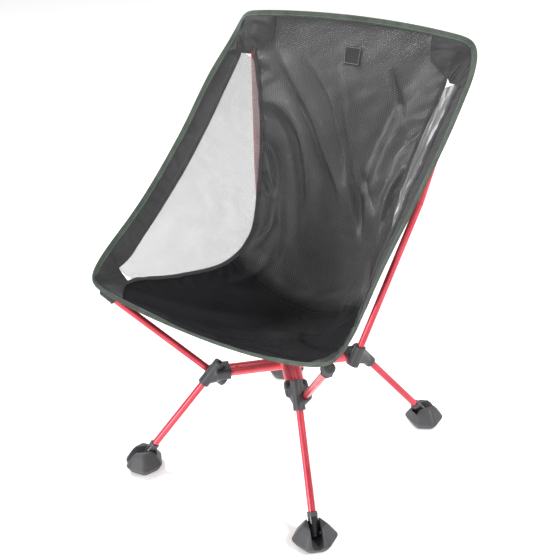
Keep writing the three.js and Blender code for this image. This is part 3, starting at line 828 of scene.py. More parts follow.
def add_corner(spot):
    name = spot["name"]
    leg_body, arm_body = f"leg_{name}", f"arm_{name}"
    hub = softened(f"hub_{name}_moulded", f"hub_{name}", 9, HUB)
    seated(hub, spot["bar"], "hub_plastic", f"hub_{name}")
    fillers = channel_fillers(f"foot_{name}", spot)
    foot = softened(f"foot_{name}_moulded", f"foot_{name}", 8, FOOT, fillers)
    seated(foot, f"foot_{name}", "foot_plastic", f"foot_{name}")
    across = np.cross([0, 0, 1], spot["toe"])
    pin = [(0, -15), (1.6, -15), (PIN_R, -14.6), (PIN_R, 14.6), (1.6, 15), (0, 15)]
    pin = turned(f"foot_pin_{name}_turned", pin, spot["hinge"], across, STEEL, 24)
    seated(pin, f"foot_{name}", "steel", f"foot_pin_{name}")

    def tube(piece, start, end, body, node):
        made = pipe(piece, start, end, TUBE_R, TUBE_R - TUBE_WALL, RED)
        seated(made, body, "red_tube", node)

    leg, arm, mouth, tip = spot["leg"], spot["arm"], spot["mouth"], spot["tip"]
    top = spot["exit"] - leg * (LEG_SOCKET - 1)
    tube(f"leg_{name}_tube", top, spot["collar"] - leg * 0.3, leg_body, f"leg_tube_{name}")
    seated(ribbed_plug(spot), leg_body, "black_plastic", f"leg_plug_{name}")
    stretching_cord(f"leg_cord_{name}_braided", spot["exit"] - leg * (LEG_TOWER - 3),
                    spot["exit"] + leg * LEG_CORD, f"leg_cord_{name}")

    foot_end = mouth - arm * (ARM_SOCKET - 1)
    if spot["front"]:
        tube(f"arm_{name}_tube", foot_end, tip - arm * 0.3, arm_body, f"arm_tube_{name}")
    else:
        upper, middle = spot["tip_axis"], spot["middle"]
        tube(f"arm_{name}_lower", foot_end, middle - arm * 0.25, arm_body, f"arm_tube_lower_{name}")
        tube(f"arm_{name}_upper", middle + upper * 0.25, tip - upper * 0.3, arm_body,
             f"arm_tube_upper_{name}")
        first, second = middle - arm * FERRULE_REACH, middle + upper * FERRULE_REACH
        shares = np.linspace(0, 1, 13)[:, None]
        line = first * (1 - shares) ** 2 + 2 * middle * shares * (1 - shares) + second * shares**2
        ferrule = sweep(f"ferrule_{name}", line, TUBE_R - TUBE_WALL - 0.4, STEEL, 32)
        seated(ferrule, arm_body, "steel", f"arm_ferrule_{name}")
    stretching_cord(f"arm_cord_{name}_braided", foot_end, foot_end + arm * ARM_CORD,
                    f"arm_cord_{name}")
    cap = [(0, -14), (4.2, -14), (4.2, 0), (CAP_R - 0.3, 0), (CAP_R, 0.4), (CAP_R, 3)]
    cap += [(CAP_R * math.cos(t), 3 + 4 * math.sin(t)) for t in np.linspace(0.2, math.pi / 2, 8)]
    cap = turned(f"arm_cap_{name}_turned", cap, spot["tip"], spot["tip_axis"], BLACK)
    seated(cap, arm_body, "black_plastic", f"arm_cap_{name}")


# ---------------------------------------------------------------- the sling's lines
SEAM = Curve([
    (203, -193, 313), (195, -153, 310), (158, -59, 292), (130, 22, 290), (122, 72, 318),
    (124, 104, 403), (140, 136, 495), (170, 163, 589), (190, 170, 640)])
SPINE = Curve([
    (0, -160, 267), (0, -118, 250), (0, -45, 231), (0, 38, 226), (0, 100, 256),
    (0, 137, 385), (0, 157, 490), (0, 175, 592), (0, 186, 647)])
MESH_EDGE = Curve([
    (206, -190, 317), (203, -160, 311), (190, -73, 377), (185, 15, 450), (186, 101, 530),
    (190, 168, 600), (196, 180, 636)])
SIDE_EDGE = Curve([
    (214, -192, 321), (217, -168, 338), (210, -73, 404), (211, 24, 480), (213, 108, 558),
    (206, 180, 622), (202, 188, 638)])

PANEL_COLUMNS = 120
NET_COLUMNS = 14
BAND_COLUMNS = 10
ROWS = 240
BEND_V = 0.4               # the seat cloth is sewn to the back cloth here
BEND_ROW = 96
COLUMNS = PANEL_COLUMNS + 2 * (NET_COLUMNS + BAND_COLUMNS)


def sling_point(a, v):
    """a runs -1 to 1 across the main panel, to 2 over the net and to 3 over the side band."""
    a, v = np.broadcast_arrays(np.asarray(a, float), np.asarray(v, float))
    side, far = np.sign(a), np.abs(a)
    seam, spine = SEAM.at(v), SPINE.at(v)
    share = SEAM.share(v)
    net, edge = MESH_EDGE.by_length(share), SIDE_EDGE.by_length(share)
    inner = np.minimum(far, 1)[..., None]
    point = spine + (seam - spine) * inner**2
    point[..., 0] = seam[..., 0] * inner[..., 0]
    point += (net - seam) * np.clip(far - 1, 0, 1)[..., None]
    point += (edge - net) * np.clip(far - 2, 0, 1)[..., None]
    point[..., 2] += 4 * np.clip((v - 0.95) / 0.05, 0, 1) ** 2
    point[..., 0] *= np.where(side < 0, -1, 1)
    return point


def sling_columns():
    panel = np.linspace(-1, 1, PANEL_COLUMNS + 1)
    net = 1 + np.arange(1, NET_COLUMNS + 1) / NET_COLUMNS
    band = 2 + np.arange(1, BAND_COLUMNS + 1) / BAND_COLUMNS
    outer = np.concatenate([net, band])
    return np.concatenate([-outer[::-1], panel, outer])


def sling_rows():
    """Rows are spread evenly by length, and one of them lies on the bend seam."""
    middle = SPINE.share(BEND_V)
    shares = np.concatenate([np.linspace(0, middle, BEND_ROW + 1),
                             np.linspace(middle, 1, ROWS - BEND_ROW + 1)[1:]])
    return np.interp(shares * SPINE.length, SPINE.lengths, SPINE.table)


ACROSS, ALONG = np.meshgrid(sling_columns(), sling_rows())


def grid_normals(points):
    du = np.gradient(points, axis=1)
    dv = np.gradient(points, axis=0)
    return unit(np.cross(du, dv) + 1e-12)


def averaged(points):
    """A grid with each inner point moved to the middle of its four neighbours."""
    smooth = points.copy()
    smooth[1:-1, 1:-1] = (points[:-2, 1:-1] + points[2:, 1:-1] + points[1:-1, :-2] + points[1:-1, 2:]) / 4
    return smooth


def rounded_corners(points):
    """Smooths the four corners of the outline, and the cloth near them."""
    points = points.copy()
    tips = points[[0, 0, -1, -1], [0, -1, 0, -1]]
    far = np.min([np.linalg.norm(points - tip, axis=-1) for tip in tips], axis=0)
    weight = np.clip(1.35 - far / 56, 0, 1)[..., None]
    rows, columns = points.shape[:2]
    ring = ring_index(rows, columns)
    for _ in range(240):
        smooth = averaged(points)
        border = points[ring[:, 0], ring[:, 1]]
        smooth[ring[:, 0], ring[:, 1]] = (np.roll(border, 1, 0) + np.roll(border, -1, 0)) / 2
        points += (smooth - points) * weight * 0.8
    return points


def ring_index(rows, columns):
    """Grid places round the outline: front edge, right side, top edge, left side."""
    front = [(0, c) for c in range(columns)]
    right = [(r, columns - 1) for r in range(1, rows)]
    top = [(rows - 1, c) for c in range(columns - 2, -1, -1)]
    left = [(r, 0) for r in range(rows - 2, 0, -1)]
    return np.array(front + right + top + left)


def flat_coordinates(points):
    """Metres across from the middle line and along it, as the cloth would lie flat."""
    steps = np.linalg.norm(np.diff(points, axis=1), axis=-1)
    across = np.concatenate([np.zeros((len(points), 1)), np.cumsum(steps, axis=1)], axis=1)
    middle = points.shape[1] // 2
    across -= across[:, middle:middle + 1]
    along = lengths_along(points[:, middle])
    return np.stack([across, np.broadcast_to(along[:, None], across.shape)], axis=-1) / 1000


# ---------------------------------------------------------------- folds in the cloth
def nearest_on(points, line):
    """Distance from each point to a polyline, how far along it is, and the offset from it."""
    best = np.full(points.shape[:-1], 1e9)
    share = np.zeros(points.shape[:-1])
    offset = np.zeros(points.shape)
    lengths = np.linalg.norm(np.diff(line, axis=0), axis=1)
    total, gone = lengths.sum(), 0.0
    for a, b, length in zip(line, line[1:], lengths):
        t = np.clip(((points - a) @ (b - a)) / length**2, 0, 1)
        away = points - (a + t[..., None] * (b - a))
        far = np.linalg.norm(away, axis=-1)
        closer = far < best
        best = np.where(closer, far, best)
        share = np.where(closer, (gone + t * length) / total, share)
        offset = np.where(closer[..., None], away, offset)
        gone += length
    return best, share, offset


def fold(points, normals, route, width, height):
    """A soft ridge along a route of (a, v) places, with a shallow trough on one side."""
    line = Curve(sling_point(*np.array(route, float).T)).by_length(np.linspace(0, 1, 24))
    far, share, offset = nearest_on(points, line)
    way = unit(line[-1] - line[0])
    side = np.sign(np.einsum("...k,...k", offset, np.cross(normals, way)))
    signed = far * side
    taper = np.sin(math.pi * np.clip(share, 0.02, 0.98)) ** 0.55
    crest = np.exp(-((far / np.where(side > 0, 1.5 * width, 0.8 * width)) ** 2))
    trough = np.exp(-(((signed + 1.6 * width) / width) ** 2))
    return height * taper * (crest - 0.4 * trough)


# Long folds of the back and seat, drawn by the pull between the corner pockets and the bend.
# Each is a route of (a, v) places, its width and its height in millimetres; FOLD_DEPTH deepens all.
FOLD_DEPTH = 1.55
FOLDS = [
    ([(-0.72, 0.88), (-0.53, 0.804), (-0.35, 0.756), (-0.18, 0.696), (0.04, 0.64), (0.20, 0.59)], 9, 4.4),
    ([(-0.44, 0.86), (-0.36, 0.842), (-0.15, 0.79), (0.06, 0.702), (0.15, 0.65)], 3.6, 2.0),
    ([(-0.97, 0.775), (-0.80, 0.775), (-0.62, 0.752), (-0.51, 0.724), (-0.43, 0.68), (-0.37, 0.62),
      (-0.36, 0.55)], 11, 5.8),
    ([(-1.0, 0.70), (-0.90, 0.69), (-0.82, 0.66), (-0.78, 0.61)], 7, -5.0),
    ([(-1.0, 0.636), (-0.93, 0.63), (-0.86, 0.60)], 4, -2.6),
    ([(-0.78, 0.61), (-0.85, 0.54), (-0.92, 0.46)], 6.5, 3.2),
    ([(-0.67, 0.60), (-0.62, 0.55), (-0.60, 0.49)], 6, 2.6),
    ([(-0.06, 0.85), (-0.02, 0.826), (0.12, 0.74), (0.26, 0.69)], 6, 1.8),
    ([(0.46, 0.86), (0.52, 0.838), (0.66, 0.80), (0.75, 0.78)], 4, -3.2),
    ([(0.14, 0.69), (0.20, 0.662), (0.33, 0.62), (0.49, 0.572)], 6, -3.2),
    ([(0.34, 0.675), (0.40, 0.658), (0.54, 0.634), (0.60, 0.62)], 5, -2.4),
    ([(0.84, 0.87), (0.66, 0.77), (0.54, 0.66), (0.50, 0.55)], 13, 3.8),
    ([(0.97, 0.70), (0.86, 0.65), (0.80, 0.58)], 6, -3.0),
    ([(-0.80, 0.35), (-0.76, 0.374), (-0.73, 0.442), (-0.73, 0.50)], 6, 3.0),
    ([(0.54, 0.50), (0.60, 0.42), (0.62, 0.34), (0.58, 0.25)], 10, 4.2),
    ([(0.72, 0.52), (0.75, 0.44), (0.75, 0.33)], 5, -3.4),
    ([(0.02, 0.455), (0.18, 0.465), (0.36, 0.48)], 5, 1.7),
    ([(-0.60, 0.46), (-0.35, 0.44), (-0.10, 0.46)], 8, 2.4),
    ([(-0.95, 0.10), (-0.62, 0.18), (-0.30, 0.28), (-0.12, 0.36)], 14, 2.6),
    ([(0.95, 0.10), (0.66, 0.16), (0.34, 0.24), (0.15, 0.34)], 14, 2.4),
    ([(-0.90, 0.03), (-0.50, 0.05), (-0.10, 0.10)], 10, 1.8),
    ([(0.90, 0.03), (0.52, 0.06), (0.12, 0.11)], 10, 1.7),
]


def puckers(points, normals, seed):
    """Short gathers where a seam draws the cloth up: beside the panel's seams and on the bands."""
    rng = np.random.default_rng(seed)
    height = np.zeros(points.shape[:-1])

    def gather(places, v, lean, *size):
        route = [(side * a, v + lean * share) for a, share in zip(places, (0, 0.5, 1))]
        return fold(points, normals, route, *size)

    for side in (-1, 1):
        v = 0.14
        while v < 0.86:
            v += rng.uniform(0.010, 0.045)
            reach = rng.uniform(0.05, 0.26)
            lean = rng.uniform(-0.035, 0.03)
            places = (0.995, 1 - reach / 2, 1 - reach)
            height += gather(places, v, lean, rng.uniform(2.6, 5.5), rng.uniform(0.3, 1.3))
        v = 0.16
        while v < 0.84:
            v += rng.uniform(0.02, 0.06)
            lean = rng.uniform(-0.03, 0.03)
            height += gather((2.02, 2.45, 2.85), v, lean, rng.uniform(3, 6), rng.uniform(-0.9, 0.9))
    return height


def waves(flat, seed, pitch, size):
    """Slow unevenness: a seeded sum of plane waves."""
    rng = np.random.default_rng(seed)
    total = np.zeros(flat.shape[:-1])
    for _ in range(14):
        angle = rng.uniform(0, math.pi)
        way = np.array([math.cos(angle), math.sin(angle)])
        turns = 2 * math.pi / (pitch * rng.uniform(0.6, 1.6))
        total += np.sin(flat @ way * turns + rng.uniform(0, 2 * math.pi)) * rng.uniform(0.3, 1)
    return total * size / 3


def shorten(points, weight, one, other, rest, stiff):
    """Moves the two ends of every strand in a set towards its own length."""
    a, b = points[one], points[other]
    wa, wb = weight[one], weight[other]
    apart = b - a
    length = np.maximum(np.linalg.norm(apart, axis=-1), 1e-6)
    move = (stiff * (length - rest) / (length * np.maximum(wa + wb, 1e-6)))[..., None] * apart
    points[one] = a + move * wa[..., None]
    points[other] = b - move * wb[..., None]


# Strands of the cloth as (rows down, columns over, stiffness): threads, diagonals and bending.
STRANDS = [(0, 1, 1.0), (1, 0, 1.0), (1, 1, 0.35), (1, -1, 0.35), (0, 4, 0.3), (4, 0, 0.3)]


def strand_sets(rows, columns):
    """Pairs of grid places for each kind of strand, split so that no point is used twice at once."""
    sets = []
    for down, over, stiff in STRANDS:
        step = max(down, abs(over))
        size = rows if down else columns
        for start in range(2 * step):
            pick = np.arange(start, size - step, 2 * step)
            if down:
                r = pick[:, None]
                c = np.arange(max(0, -over), columns - max(0, over))[None]
            else:
                r = np.arange(rows)[:, None]
                c = pick[None]
            sets.append(((r, c), (r + down, c + over), stiff, abs(over) / (abs(over) + down)))
    return sets


def relaxed(start, rounds=150):
    """Lets the cloth settle between its sewn lines: it is cut a little larger than the space it spans."""
    points = start.copy()
    far = np.abs(ACROSS)
    panel = far < 0.999
    weight = np.ones(ACROSS.shape)
    weight[np.isclose(far, 1.0, atol=1e-6) | np.isclose(far, 2.0, atol=1e-6)] = 0.12
    weight[:3] = weight[-3:] = 0.0
    weight[:, :3] = weight[:, -3:] = 0.0
    net = (far > 1.001) & (far < 1.999)
    back = np.clip((ALONG - 0.42) / 0.08, 0, 1)
    seam = np.exp(-(((1 - far) / 0.10) ** 2)) * panel
    upper = np.exp(-(((ALONG - 0.70) / 0.12) ** 2)) * back
    bend = np.exp(-(((ALONG - 0.44) / 0.08) ** 2))
    spare_across = np.where(panel, 0.002 + 0.006 * upper + 0.005 * bend, np.where(net, 0.008, 0.003))
    spare_along = np.where(panel, 0.002 + 0.020 * seam + 0.003 * bend, np.where(net, 0.014, 0.008))
    sets = []
    for one, other, stiff, share in strand_sets(*ACROSS.shape):
        rest = np.linalg.norm(start[other] - start[one], axis=-1)
        spare = spare_across[one] * share + spare_along[one] * (1 - share)
        sets.append((one, other, rest * (1 + spare), stiff))
    for _ in range(rounds):
        for one, other, rest, stiff in sets:
            shorten(points, weight, one, other, rest, stiff)
    for _ in range(2):
        points += (averaged(points) - points) * 0.35 * (weight > 0.5)[..., None]
    return points


def sling_surface():
    """The whole sling as one grid of points, and its flat coordinates."""
    base = rounded_corners(sling_point(ACROSS, ALONG))
    normals = grid_normals(base)
    flat = flat_coordinates(base)
    height = waves(flat, 5, 0.11, 1.1) + waves(flat, 6, 0.035, 0.25)
    for route, width, size in FOLDS:
        height += fold(base, normals, route, width, size * FOLD_DEPTH)
    height += puckers(base, normals, 11)
    edge_u = np.clip((3.02 - np.abs(ACROSS)) / 0.5, 0, 1)
    edge_v = np.clip(np.minimum(ALONG, 1 - ALONG) / 0.02, 0, 1)
    calm = np.where((np.abs(ACROSS) > 1) & (np.abs(ACROSS) < 2), 0.5, 1.0)
    height *= edge_u * edge_v * calm
    over = np.abs(ACROSS) - 1
    slack = np.where((over > 0) & (over < 1), np.sin(math.pi * np.clip(over, 0, 1)), 0)
    reach = np.clip((0.80 - ALONG) / 0.12, 0, 1) * np.clip((ALONG - 0.2) / 0.15, 0, 1)
    ripple = np.sin(2 * math.pi * (over * 2.6 + 0.35 * np.sin(ALONG * 31)) + 9 * ALONG)
    height += slack * reach * ripple * np.where(ACROSS > 0, 4.5, 0.8)
    return relaxed(base + normals * height[..., None]), flat


SLING, FLAT = sling_surface()
NORMALS = grid_normals(SLING)


def region(rows, columns):
    """Points, flat coordinates and faces of a block of the sling's grid."""
    block = SLING[rows, columns]
    flat = FLAT[rows, columns]
    return block.reshape(-1, 3), flat.reshape(-1, 2), grid_faces(*block.shape[:2])


def cloth_piece(name, rows, columns, material, slot, node, thickness=CLOTH):
    """A block of the sling as one cut sheet."""
    points, flat, faces = region(rows, columns)
    obj = thickened(make(name, points, faces, material, flat), thickness)
    seated(obj, "sling", slot, node)


def column_of(a):
    return int(np.argmin(np.abs(sling_columns() - a)))


def row_of_share(share):
    return int(np.argmin(np.abs(SEAM.share(sling_rows()) - share)))


def add_panels():
    panel = slice(column_of(-1), column_of(1) + 1)
    cloth_piece("seat_panel", slice(0, BEND_ROW + 1), panel, SEAT, "seat_cloth", "sling_seat")
    cloth_piece("back_panel", slice(BEND_ROW, ROWS + 1), panel, BACK, "back_cloth", "sling_back")
    net_rows = slice(row_of_share(0.10), row_of_share(0.885) + 1)
    strips = {
        "left": (slice(column_of(-2), column_of(-1) + 1), slice(0, column_of(-2) + 1)),
        "right": (slice(column_of(1), column_of(2) + 1), slice(column_of(2), COLUMNS + 1)),
    }
    for name, (net, band) in strips.items():
        cloth_piece(f"net_{name}", net_rows, net, NET_CLOTH, "side_mesh", f"sling_mesh_{name}", NET_THICK)
        cloth_piece(f"band_{name}", slice(0, ROWS + 1), band, BAND, "band_cloth", f"sling_band_{name}")


# ---------------------------------------------------------------- seams, binding and stitches
STITCH_LIFT = 0.15
OUTLINE_STEP = 3.0


def interpolated(values, gone, table):
    return np.stack([np.interp(values, gone, table[:, k]) for k in range(3)], -1)


def stitches(name, line, normals, slot, material, pitch, length, radius):
    """A row of short threads along a line, each sinking into the cloth at its ends."""
    gone = lengths_along(line)
    count = int(gone[-1] / pitch)
    starts = ((np.arange(count) + 0.5) * pitch)[:, None]
    rise = np.array([-0.25, 0.8, 1.0, 0.8, -0.25])
    thick = np.array([0.6, 1, 1, 1, 0.6])
    rings, sides = len(rise), 6
    turn = (np.arange(sides) / sides * 2 * math.pi)[:, None]
    base = interpolated(starts + np.linspace(-0.5, 0.5, rings) * length, gone, line)
    up = unit(interpolated(np.broadcast_to(starts, (count, rings)), gone, normals))
    ahead = unit(base[:, -1] - base[:, 0])[:, None]
    across = unit(np.cross(ahead, up))
    centre = base + up * (STITCH_LIFT + radius * rise)[:, None]
    circle = np.cos(turn) * across[:, :, None] + np.sin(turn) * up[:, :, None]
    points = centre[:, :, None] + circle * (radius * thick)[:, None, None]
    one = ring_faces(rings, sides) + end_caps(rings, sides)
    faces = [tuple(i + start for i in face) for start in range(0, count * rings * sides, rings * sides)
             for face in one]
    seated(make(name, points.reshape(-1, 3), faces, material), "sling", slot)


def strip(name, line, normals, inward, width, thick, material, slot, wave, closed=False):
    """A flat folded strip along a line: inward is the way across it, from its edge."""
    gone = lengths_along(line)
    half = thick / 2
    section = []
    for k in range(7):
        turn = math.pi / 2 + math.pi * k / 6
        section.append((half * 0.9 * math.cos(turn), half * math.sin(turn)))
    section += [(width * s, -half) for s in (0.25, 0.5, 0.75)]
    for k in range(5):
        turn = -math.pi / 2 + math.pi * k / 4
        section.append((width + half * 0.6 * math.cos(turn), half * math.sin(turn)))
    section += [(width * s, half) for s in (0.75, 0.5, 0.25)]
    points = []
    uv = []
    for k, point in enumerate(line):
        lift = wave * math.sin(gone[k] / 9.0 + 2 * math.sin(gone[k] / 41.0))
        for (far, up), girth in zip(section, lengths_along(section)):
            points.append(point + inward[k] * far + normals[k] * (up + lift * (far > 0.2 * width)))
            uv.append((girth / 1000, gone[k] / 1000))
    sides = len(section)
    faces = ring_faces(len(line), sides, closed)
    if not closed:
        faces += end_caps(len(line), sides)
    obj = make(name, points, faces, material, uv, 50)
    tidy(obj)
    return seated(obj, "sling", slot)


def outline():
    """The sling's edge: points, cloth normals and inward directions, evenly spaced."""
    ring = ring_index(*SLING.shape[:2])
    r, c = ring[:, 0], ring[:, 1]
    line = SLING[r, c]
    inner = SLING[np.clip(r, 4, ROWS - 4), np.clip(c, 4, COLUMNS - 4)]
    normals = NORMALS[np.clip(r, 2, ROWS - 2), np.clip(c, 2, COLUMNS - 2)]
    gone = lengths_along(np.vstack([line, line[:1]]))
    spots = np.arange(0, gone[-1] - 1, OUTLINE_STEP)
    line, inner, normals = (interpolated(spots, gone, np.vstack([table, table[:1]]))
                            for table in (line, inner, normals))
    for _ in range(6):
        normals = unit(np.roll(normals, 1, 0) + np.roll(normals, -1, 0) + normals)
        line = (np.roll(line, 1, 0) + np.roll(line, -1, 0) + 2 * line) / 4
    ahead = unit(np.roll(line, -1, 0) - np.roll(line, 1, 0))
    inward = inner - line
    inward -= ahead * np.einsum("ij,ij->i", inward, ahead)[:, None]
    inward = unit(inward)
    for _ in range(8):
        inward = unit(np.roll(inward, 1, 0) + np.roll(inward, -1, 0) + inward)
    normals = unit(np.cross(ahead, inward))
    return line, normals, inward


def add_binding():
    line, normals, inward = outline()
    shift = line - inward * 0.6
    tape_piece = strip("sling_binding_tape", shift, normals, inward, TAPE_WIDTH, TAPE_THICK, TAPE,
                       "binding_tape", 0.15, closed=True)
    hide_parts("sling_binding")
    for name, up in (("inner", 1), ("outer", -1)):
        stitch_line = shift + inward * (TAPE_WIDTH * 0.78) + normals * up * (TAPE_THICK / 2)
        stitch_line = np.vstack([stitch_line, stitch_line[:1]])
        outward = np.vstack([normals, normals[:1]]) * up
        stitches(f"binding_stitch_{name}", stitch_line, outward, "binding_tape", GREEN_THREAD, 3.2, 2.3, 0.26)


def seam_strip(name, a, rows, toward, width, stitch_rows):
    """A folded seam allowance that covers a seam line on the sitter's side, with its stitching."""
    line, normals = SLING[rows, column_of(a)], NORMALS[rows, column_of(a)]
    across = SLING[rows, column_of(a) + toward] - line
    ahead = unit(np.gradient(line, axis=0))
    across -= ahead * np.einsum("ij,ij->i", across, ahead)[:, None]
    across = unit(across)
    edge = line - across * 1.2 + normals * 0.8
    strip(name, edge, normals, across, width, 0.9, BAND, "band_cloth", 0.1)
    for k, share in enumerate(stitch_rows):
        stitch = edge + across * width * share + normals * 0.45
        stitches(f"{name}_stitch_{k}", stitch, normals, "band_cloth", DARK_THREAD, 2.8, 2.0, 0.2)


def add_seams():
    rows = slice(row_of_share(0.05), row_of_share(0.95) + 1)
    for name, side in (("left", -1), ("right", 1)):
        seam_strip(f"panel_seam_{name}", side, rows, -side, 5.5, (0.78,))
        seam_strip(f"net_seam_{name}", side * 2, rows, side, 7.0, (0.35, 0.8))
    panel = slice(column_of(-1), column_of(1) + 1)
    line, normals = SLING[BEND_ROW, panel], NORMALS[BEND_ROW, panel]
    across = unit(SLING[BEND_ROW - 3, panel] - line)
    strip("bend_seam", line + normals * 0.1, normals, across, 6.0, 0.8, SEAT, "seat_cloth", 0.05)
    stitches("bend_seam_stitch", line + across * 4.4 + normals * 0.5, normals, "seat_cloth", DARK_THREAD,
             2.8, 2.0, 0.2)


# ---------------------------------------------------------------- corner patches and pockets
# The inner edge of each pair of patches, as (a, v) places from the side edge to the front or top.
PATCH_EDGE = {
    "front": [(3.0, 0.172), (2.5, 0.167), (2.1, 0.160), (1.35, 0.151), (0.99, 0.143), (0.93, 0.10),
              (0.86, 0.052), (0.80, 0.0)],
    "back": [(3.0, 0.825), (2.6, 0.832), (2.0, 0.848), (1.3, 0.860), (0.97, 0.876), (0.86, 0.893),
             (0.77, 0.914), (0.735, 0.955), (0.72, 1.0)],
}


def surface_at(a, v):
    """A point of the finished sling and its normal, between grid places."""
    columns = sling_columns()
    rows = sling_rows()
    x = np.interp(a, columns, np.arange(len(columns)))
    y = np.interp(v, rows, np.arange(len(rows)))
    c = np.clip(np.floor(x).astype(int), 0, COLUMNS - 1)
    r = np.clip(np.floor(y).astype(int), 0, ROWS - 1)
    s, t = (x - c)[..., None], (y - r)[..., None]

    def between(table):
        low = table[r, c] * (1 - s) + table[r, c + 1] * s
        high = table[r + 1, c] * (1 - s) + table[r + 1, c + 1] * s
        return low * (1 - t) + high * t

    return between(SLING), unit(between(NORMALS))


def corner_patch(spot):
    """A reinforcing patch over the corner, gathered towards the arm's tip and tucked under the binding."""
    side, front = spot["side"], spot["front"]
    inner = np.array(PATCH_EDGE["front" if front else "back"])
    around, inward = 110, 64
    share = np.linspace(0, 1, around + 1)
    route = lengths_along(inner * [0.25, 1.6])
    route /= route[-1]
    a_in = np.interp(share, route, inner[:, 0])
    v_in = np.interp(share, route, inner[:, 1])
    v_end = 0.0 if front else 1.0
    a_out = 3.0 + (inner[-1, 0] - 3.0) * np.clip(share * 2 - 1, 0, 1)
    v_out = inner[0, 1] + (v_end - inner[0, 1]) * np.clip(share * 2, 0, 1)
    q = np.linspace(0, 1, inward + 1)[:, None]
    a = (a_in + (a_out - a_in) * q) * side
    v = v_in + (v_out - v_in) * q
    points, normals = surface_at(a, v)
    ring = ring_index(*SLING.shape[:2])
    border = SLING[ring[:, 0], ring[:, 1]]
    border = border[np.linalg.norm(border - spot["tip"], axis=1) < 190]
    edge = np.min(np.linalg.norm(points[:, :, None] - border[None, None], axis=-1), axis=-1)
    free = np.clip((edge - TAPE_WIDTH + 1.5) / 7, 0, 1)
    free = free * free * (3 - 2 * free)
    hem = np.clip(q * 14, 0, 1)
    rng = np.random.default_rng(40 + (side > 0) + 2 * front)
    axis = spot["tip_axis"]
    away = points - spot["tip"]
    along = away @ axis
    off = np.linalg.norm(away - along[..., None] * axis, axis=-1)
    reach = np.linalg.norm(away, axis=-1)
    bulge = 1.9 * np.exp(-((off / 14) ** 2))
    bulge *= np.clip(1 - (along - 4) / 12, 0, 1) * np.clip((along + 70) / 40, 0, 1)
    pleats = np.zeros(reach.shape)
    for _ in range(15):
        middle, width = rng.uniform(0.04, 0.96), rng.uniform(0.012, 0.03)
        lean = rng.uniform(-0.12, 0.12)
        start, end = rng.uniform(8, 30), rng.uniform(45, 95)
        shape = np.exp(-(((share + lean * (q - 0.5) - middle) / width) ** 2))
        fade = np.clip((reach - start) / 12, 0, 1) * np.clip((end - reach) / 25, 0, 1)
        pleats += shape * fade * rng.choice([-1.0, 1.0]) * rng.uniform(0.5, 1.5)
    height = 0.55 + free * hem * (0.9 + np.maximum(pleats, -0.8)) + free * bulge
    points = points + normals * height[..., None]
    flat = np.stack([share * 0.16 + 0 * q, q * 0.075 + 0 * share], -1)
    faces = grid_faces(inward + 1, around + 1)
    if side > 0:
        faces = faces[:, ::-1]
    name = spot["name"]
    obj = make(f"corner_patch_{name}", points.reshape(-1, 3), faces, BAND, flat.reshape(-1, 2))
    seated(thickened(obj, 0.7), "sling", "band_cloth")
    inside = slice(3, around - 3)
    hem = sweep(f"patch_hem_{name}", points[0, inside] + normals[0, inside] * 0.1, 0.7, BAND, 8)
    seated(hem, "sling", "band_cloth")
    for k in (3, 7):
        line = points[k, inside] + normals[k, inside] * 0.4
        stitches(f"patch_stitch_{k}_{name}", line, normals[k, inside], "band_cloth", DARK_THREAD,
                 2.8, 2.0, 0.22)


def nearest_cloth(centres, axis):
    """Directions from points on an axis to the cloth beside them, square to the axis, and distances."""
    cloth = SLING.reshape(-1, 3)
    cloth = cloth[np.linalg.norm(cloth - centres.mean(axis=0), axis=1) < 90]
    nearest = cloth[np.argmin(np.linalg.norm(cloth[None] - centres[:, None], axis=-1), axis=1)]
    gap = nearest - centres
    gap -= axis * (gap @ axis)[:, None]
    reach = np.linalg.norm(gap, axis=1)
    toward = unit(gap)
    before = np.maximum(np.arange(len(centres)) - 1, 0)
    after = np.minimum(np.arange(len(centres)) + 1, len(centres) - 1)
    for _ in range(8):
        toward = unit(toward[before] + toward + toward[after])
        reach = (reach[before] + reach + reach[after]) / 3
    return toward, reach


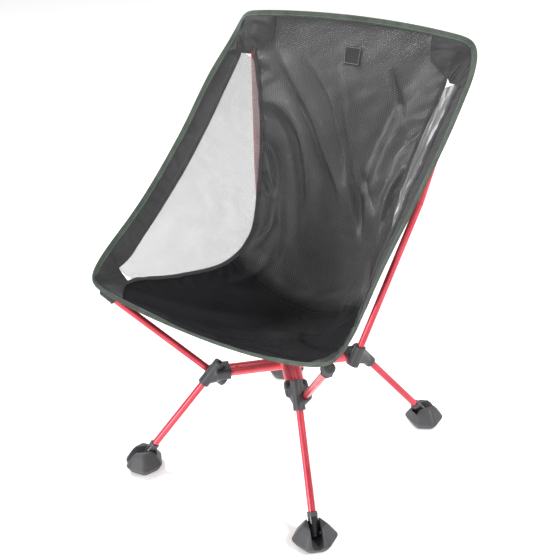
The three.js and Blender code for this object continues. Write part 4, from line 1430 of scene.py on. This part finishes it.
def pocket(spot):
    """The sleeve under a corner that the arm's tip pushes into: open towards the hub, sewn to the cloth."""
    axis = spot["tip_axis"]
    tip = spot["tip"]
    length = FRONT_POCKET if spot["front"] else POCKET_LENGTH
    lengths = np.linspace(CAP_LENGTH + 3.0, -length, 34)
    centres = tip + lengths[:, None] * axis
    toward, reach = nearest_cloth(centres, axis)
    cross = np.cross(axis, toward)
    turns = np.radians(np.linspace(0, 360, 65))[:-1]
    points = []
    flat = []
    for k, far in enumerate(lengths):
        share = (lengths[0] - far) / (lengths[0] - lengths[-1])
        radius = 2.2 + 5.1 * min(1, (share / 0.16)) ** 0.5 + 0.7 * share
        sewn = min(max(0.0, reach[k] - radius - 0.4), 16.0)
        for turn in turns:
            pleat = 0.3 * share * math.sin(7 * turn + 2 * share) + 0.15 * math.sin(13 * turn) * share
            spoke = toward[k] * math.cos(turn) + cross[k] * math.sin(turn)
            lip = toward[k] * sewn * max(0.0, math.cos(turn)) ** 3
            points.append(centres[k] + spoke * (radius + pleat) + lip)
            flat.append((turn * radius / 1000, far / 1000))
    count = len(turns)
    faces = ring_faces(len(lengths), count) + end_caps(len(lengths), count)[:1]
    obj = make(f"corner_pocket_{spot['name']}", points, faces, BAND, flat)
    tidy(obj)
    seated(thickened(obj, 0.9, -1.0), "sling", "band_cloth", f"sling_pocket_{spot['name']}")
    hem = sweep(f"pocket_hem_{spot['name']}", points[-count:], 0.8, BAND, 10, closed=True)
    seated(hem, "sling", "band_cloth")


def add_patch():
    """The plain woven patch near the top of the back, sewn on with a pale border."""
    size = 25
    a, v = np.meshgrid(np.linspace(-0.052, 0.108, size), np.linspace(0.863, 0.910, size))
    points, normals = surface_at(a, v)
    points = points + normals * 0.9
    flat = np.stack([a * 0.15, v * 0.8], -1)
    obj = make("woven_patch", points.reshape(-1, 3), grid_faces(size, size), PATCH, flat.reshape(-1, 2))
    seated(thickened(obj, 0.8), "sling", "patch_cloth", "sling_patch")
    low, high = 1, size - 2
    border = [(r, low) for r in range(low, high + 1)] + [(high, c) for c in range(low + 1, high + 1)]
    border += [(r, high) for r in range(high - 1, low - 1, -1)]
    border += [(low, c) for c in range(high - 1, low - 1, -1)]
    r, c = np.array(border).T
    stitches("woven_patch_stitch", points[r, c] + normals[r, c] * 0.4, normals[r, c], "patch_cloth",
             PALE_THREAD, 1.7, 1.2, 0.2)


# ---------------------------------------------------------------- putting it together
add_bars()
for spot in CORNERS:
    add_corner(spot)
add_panels()
add_binding()
add_seams()
for spot in CORNERS:
    corner_patch(spot)
    pocket(spot)
add_patch()
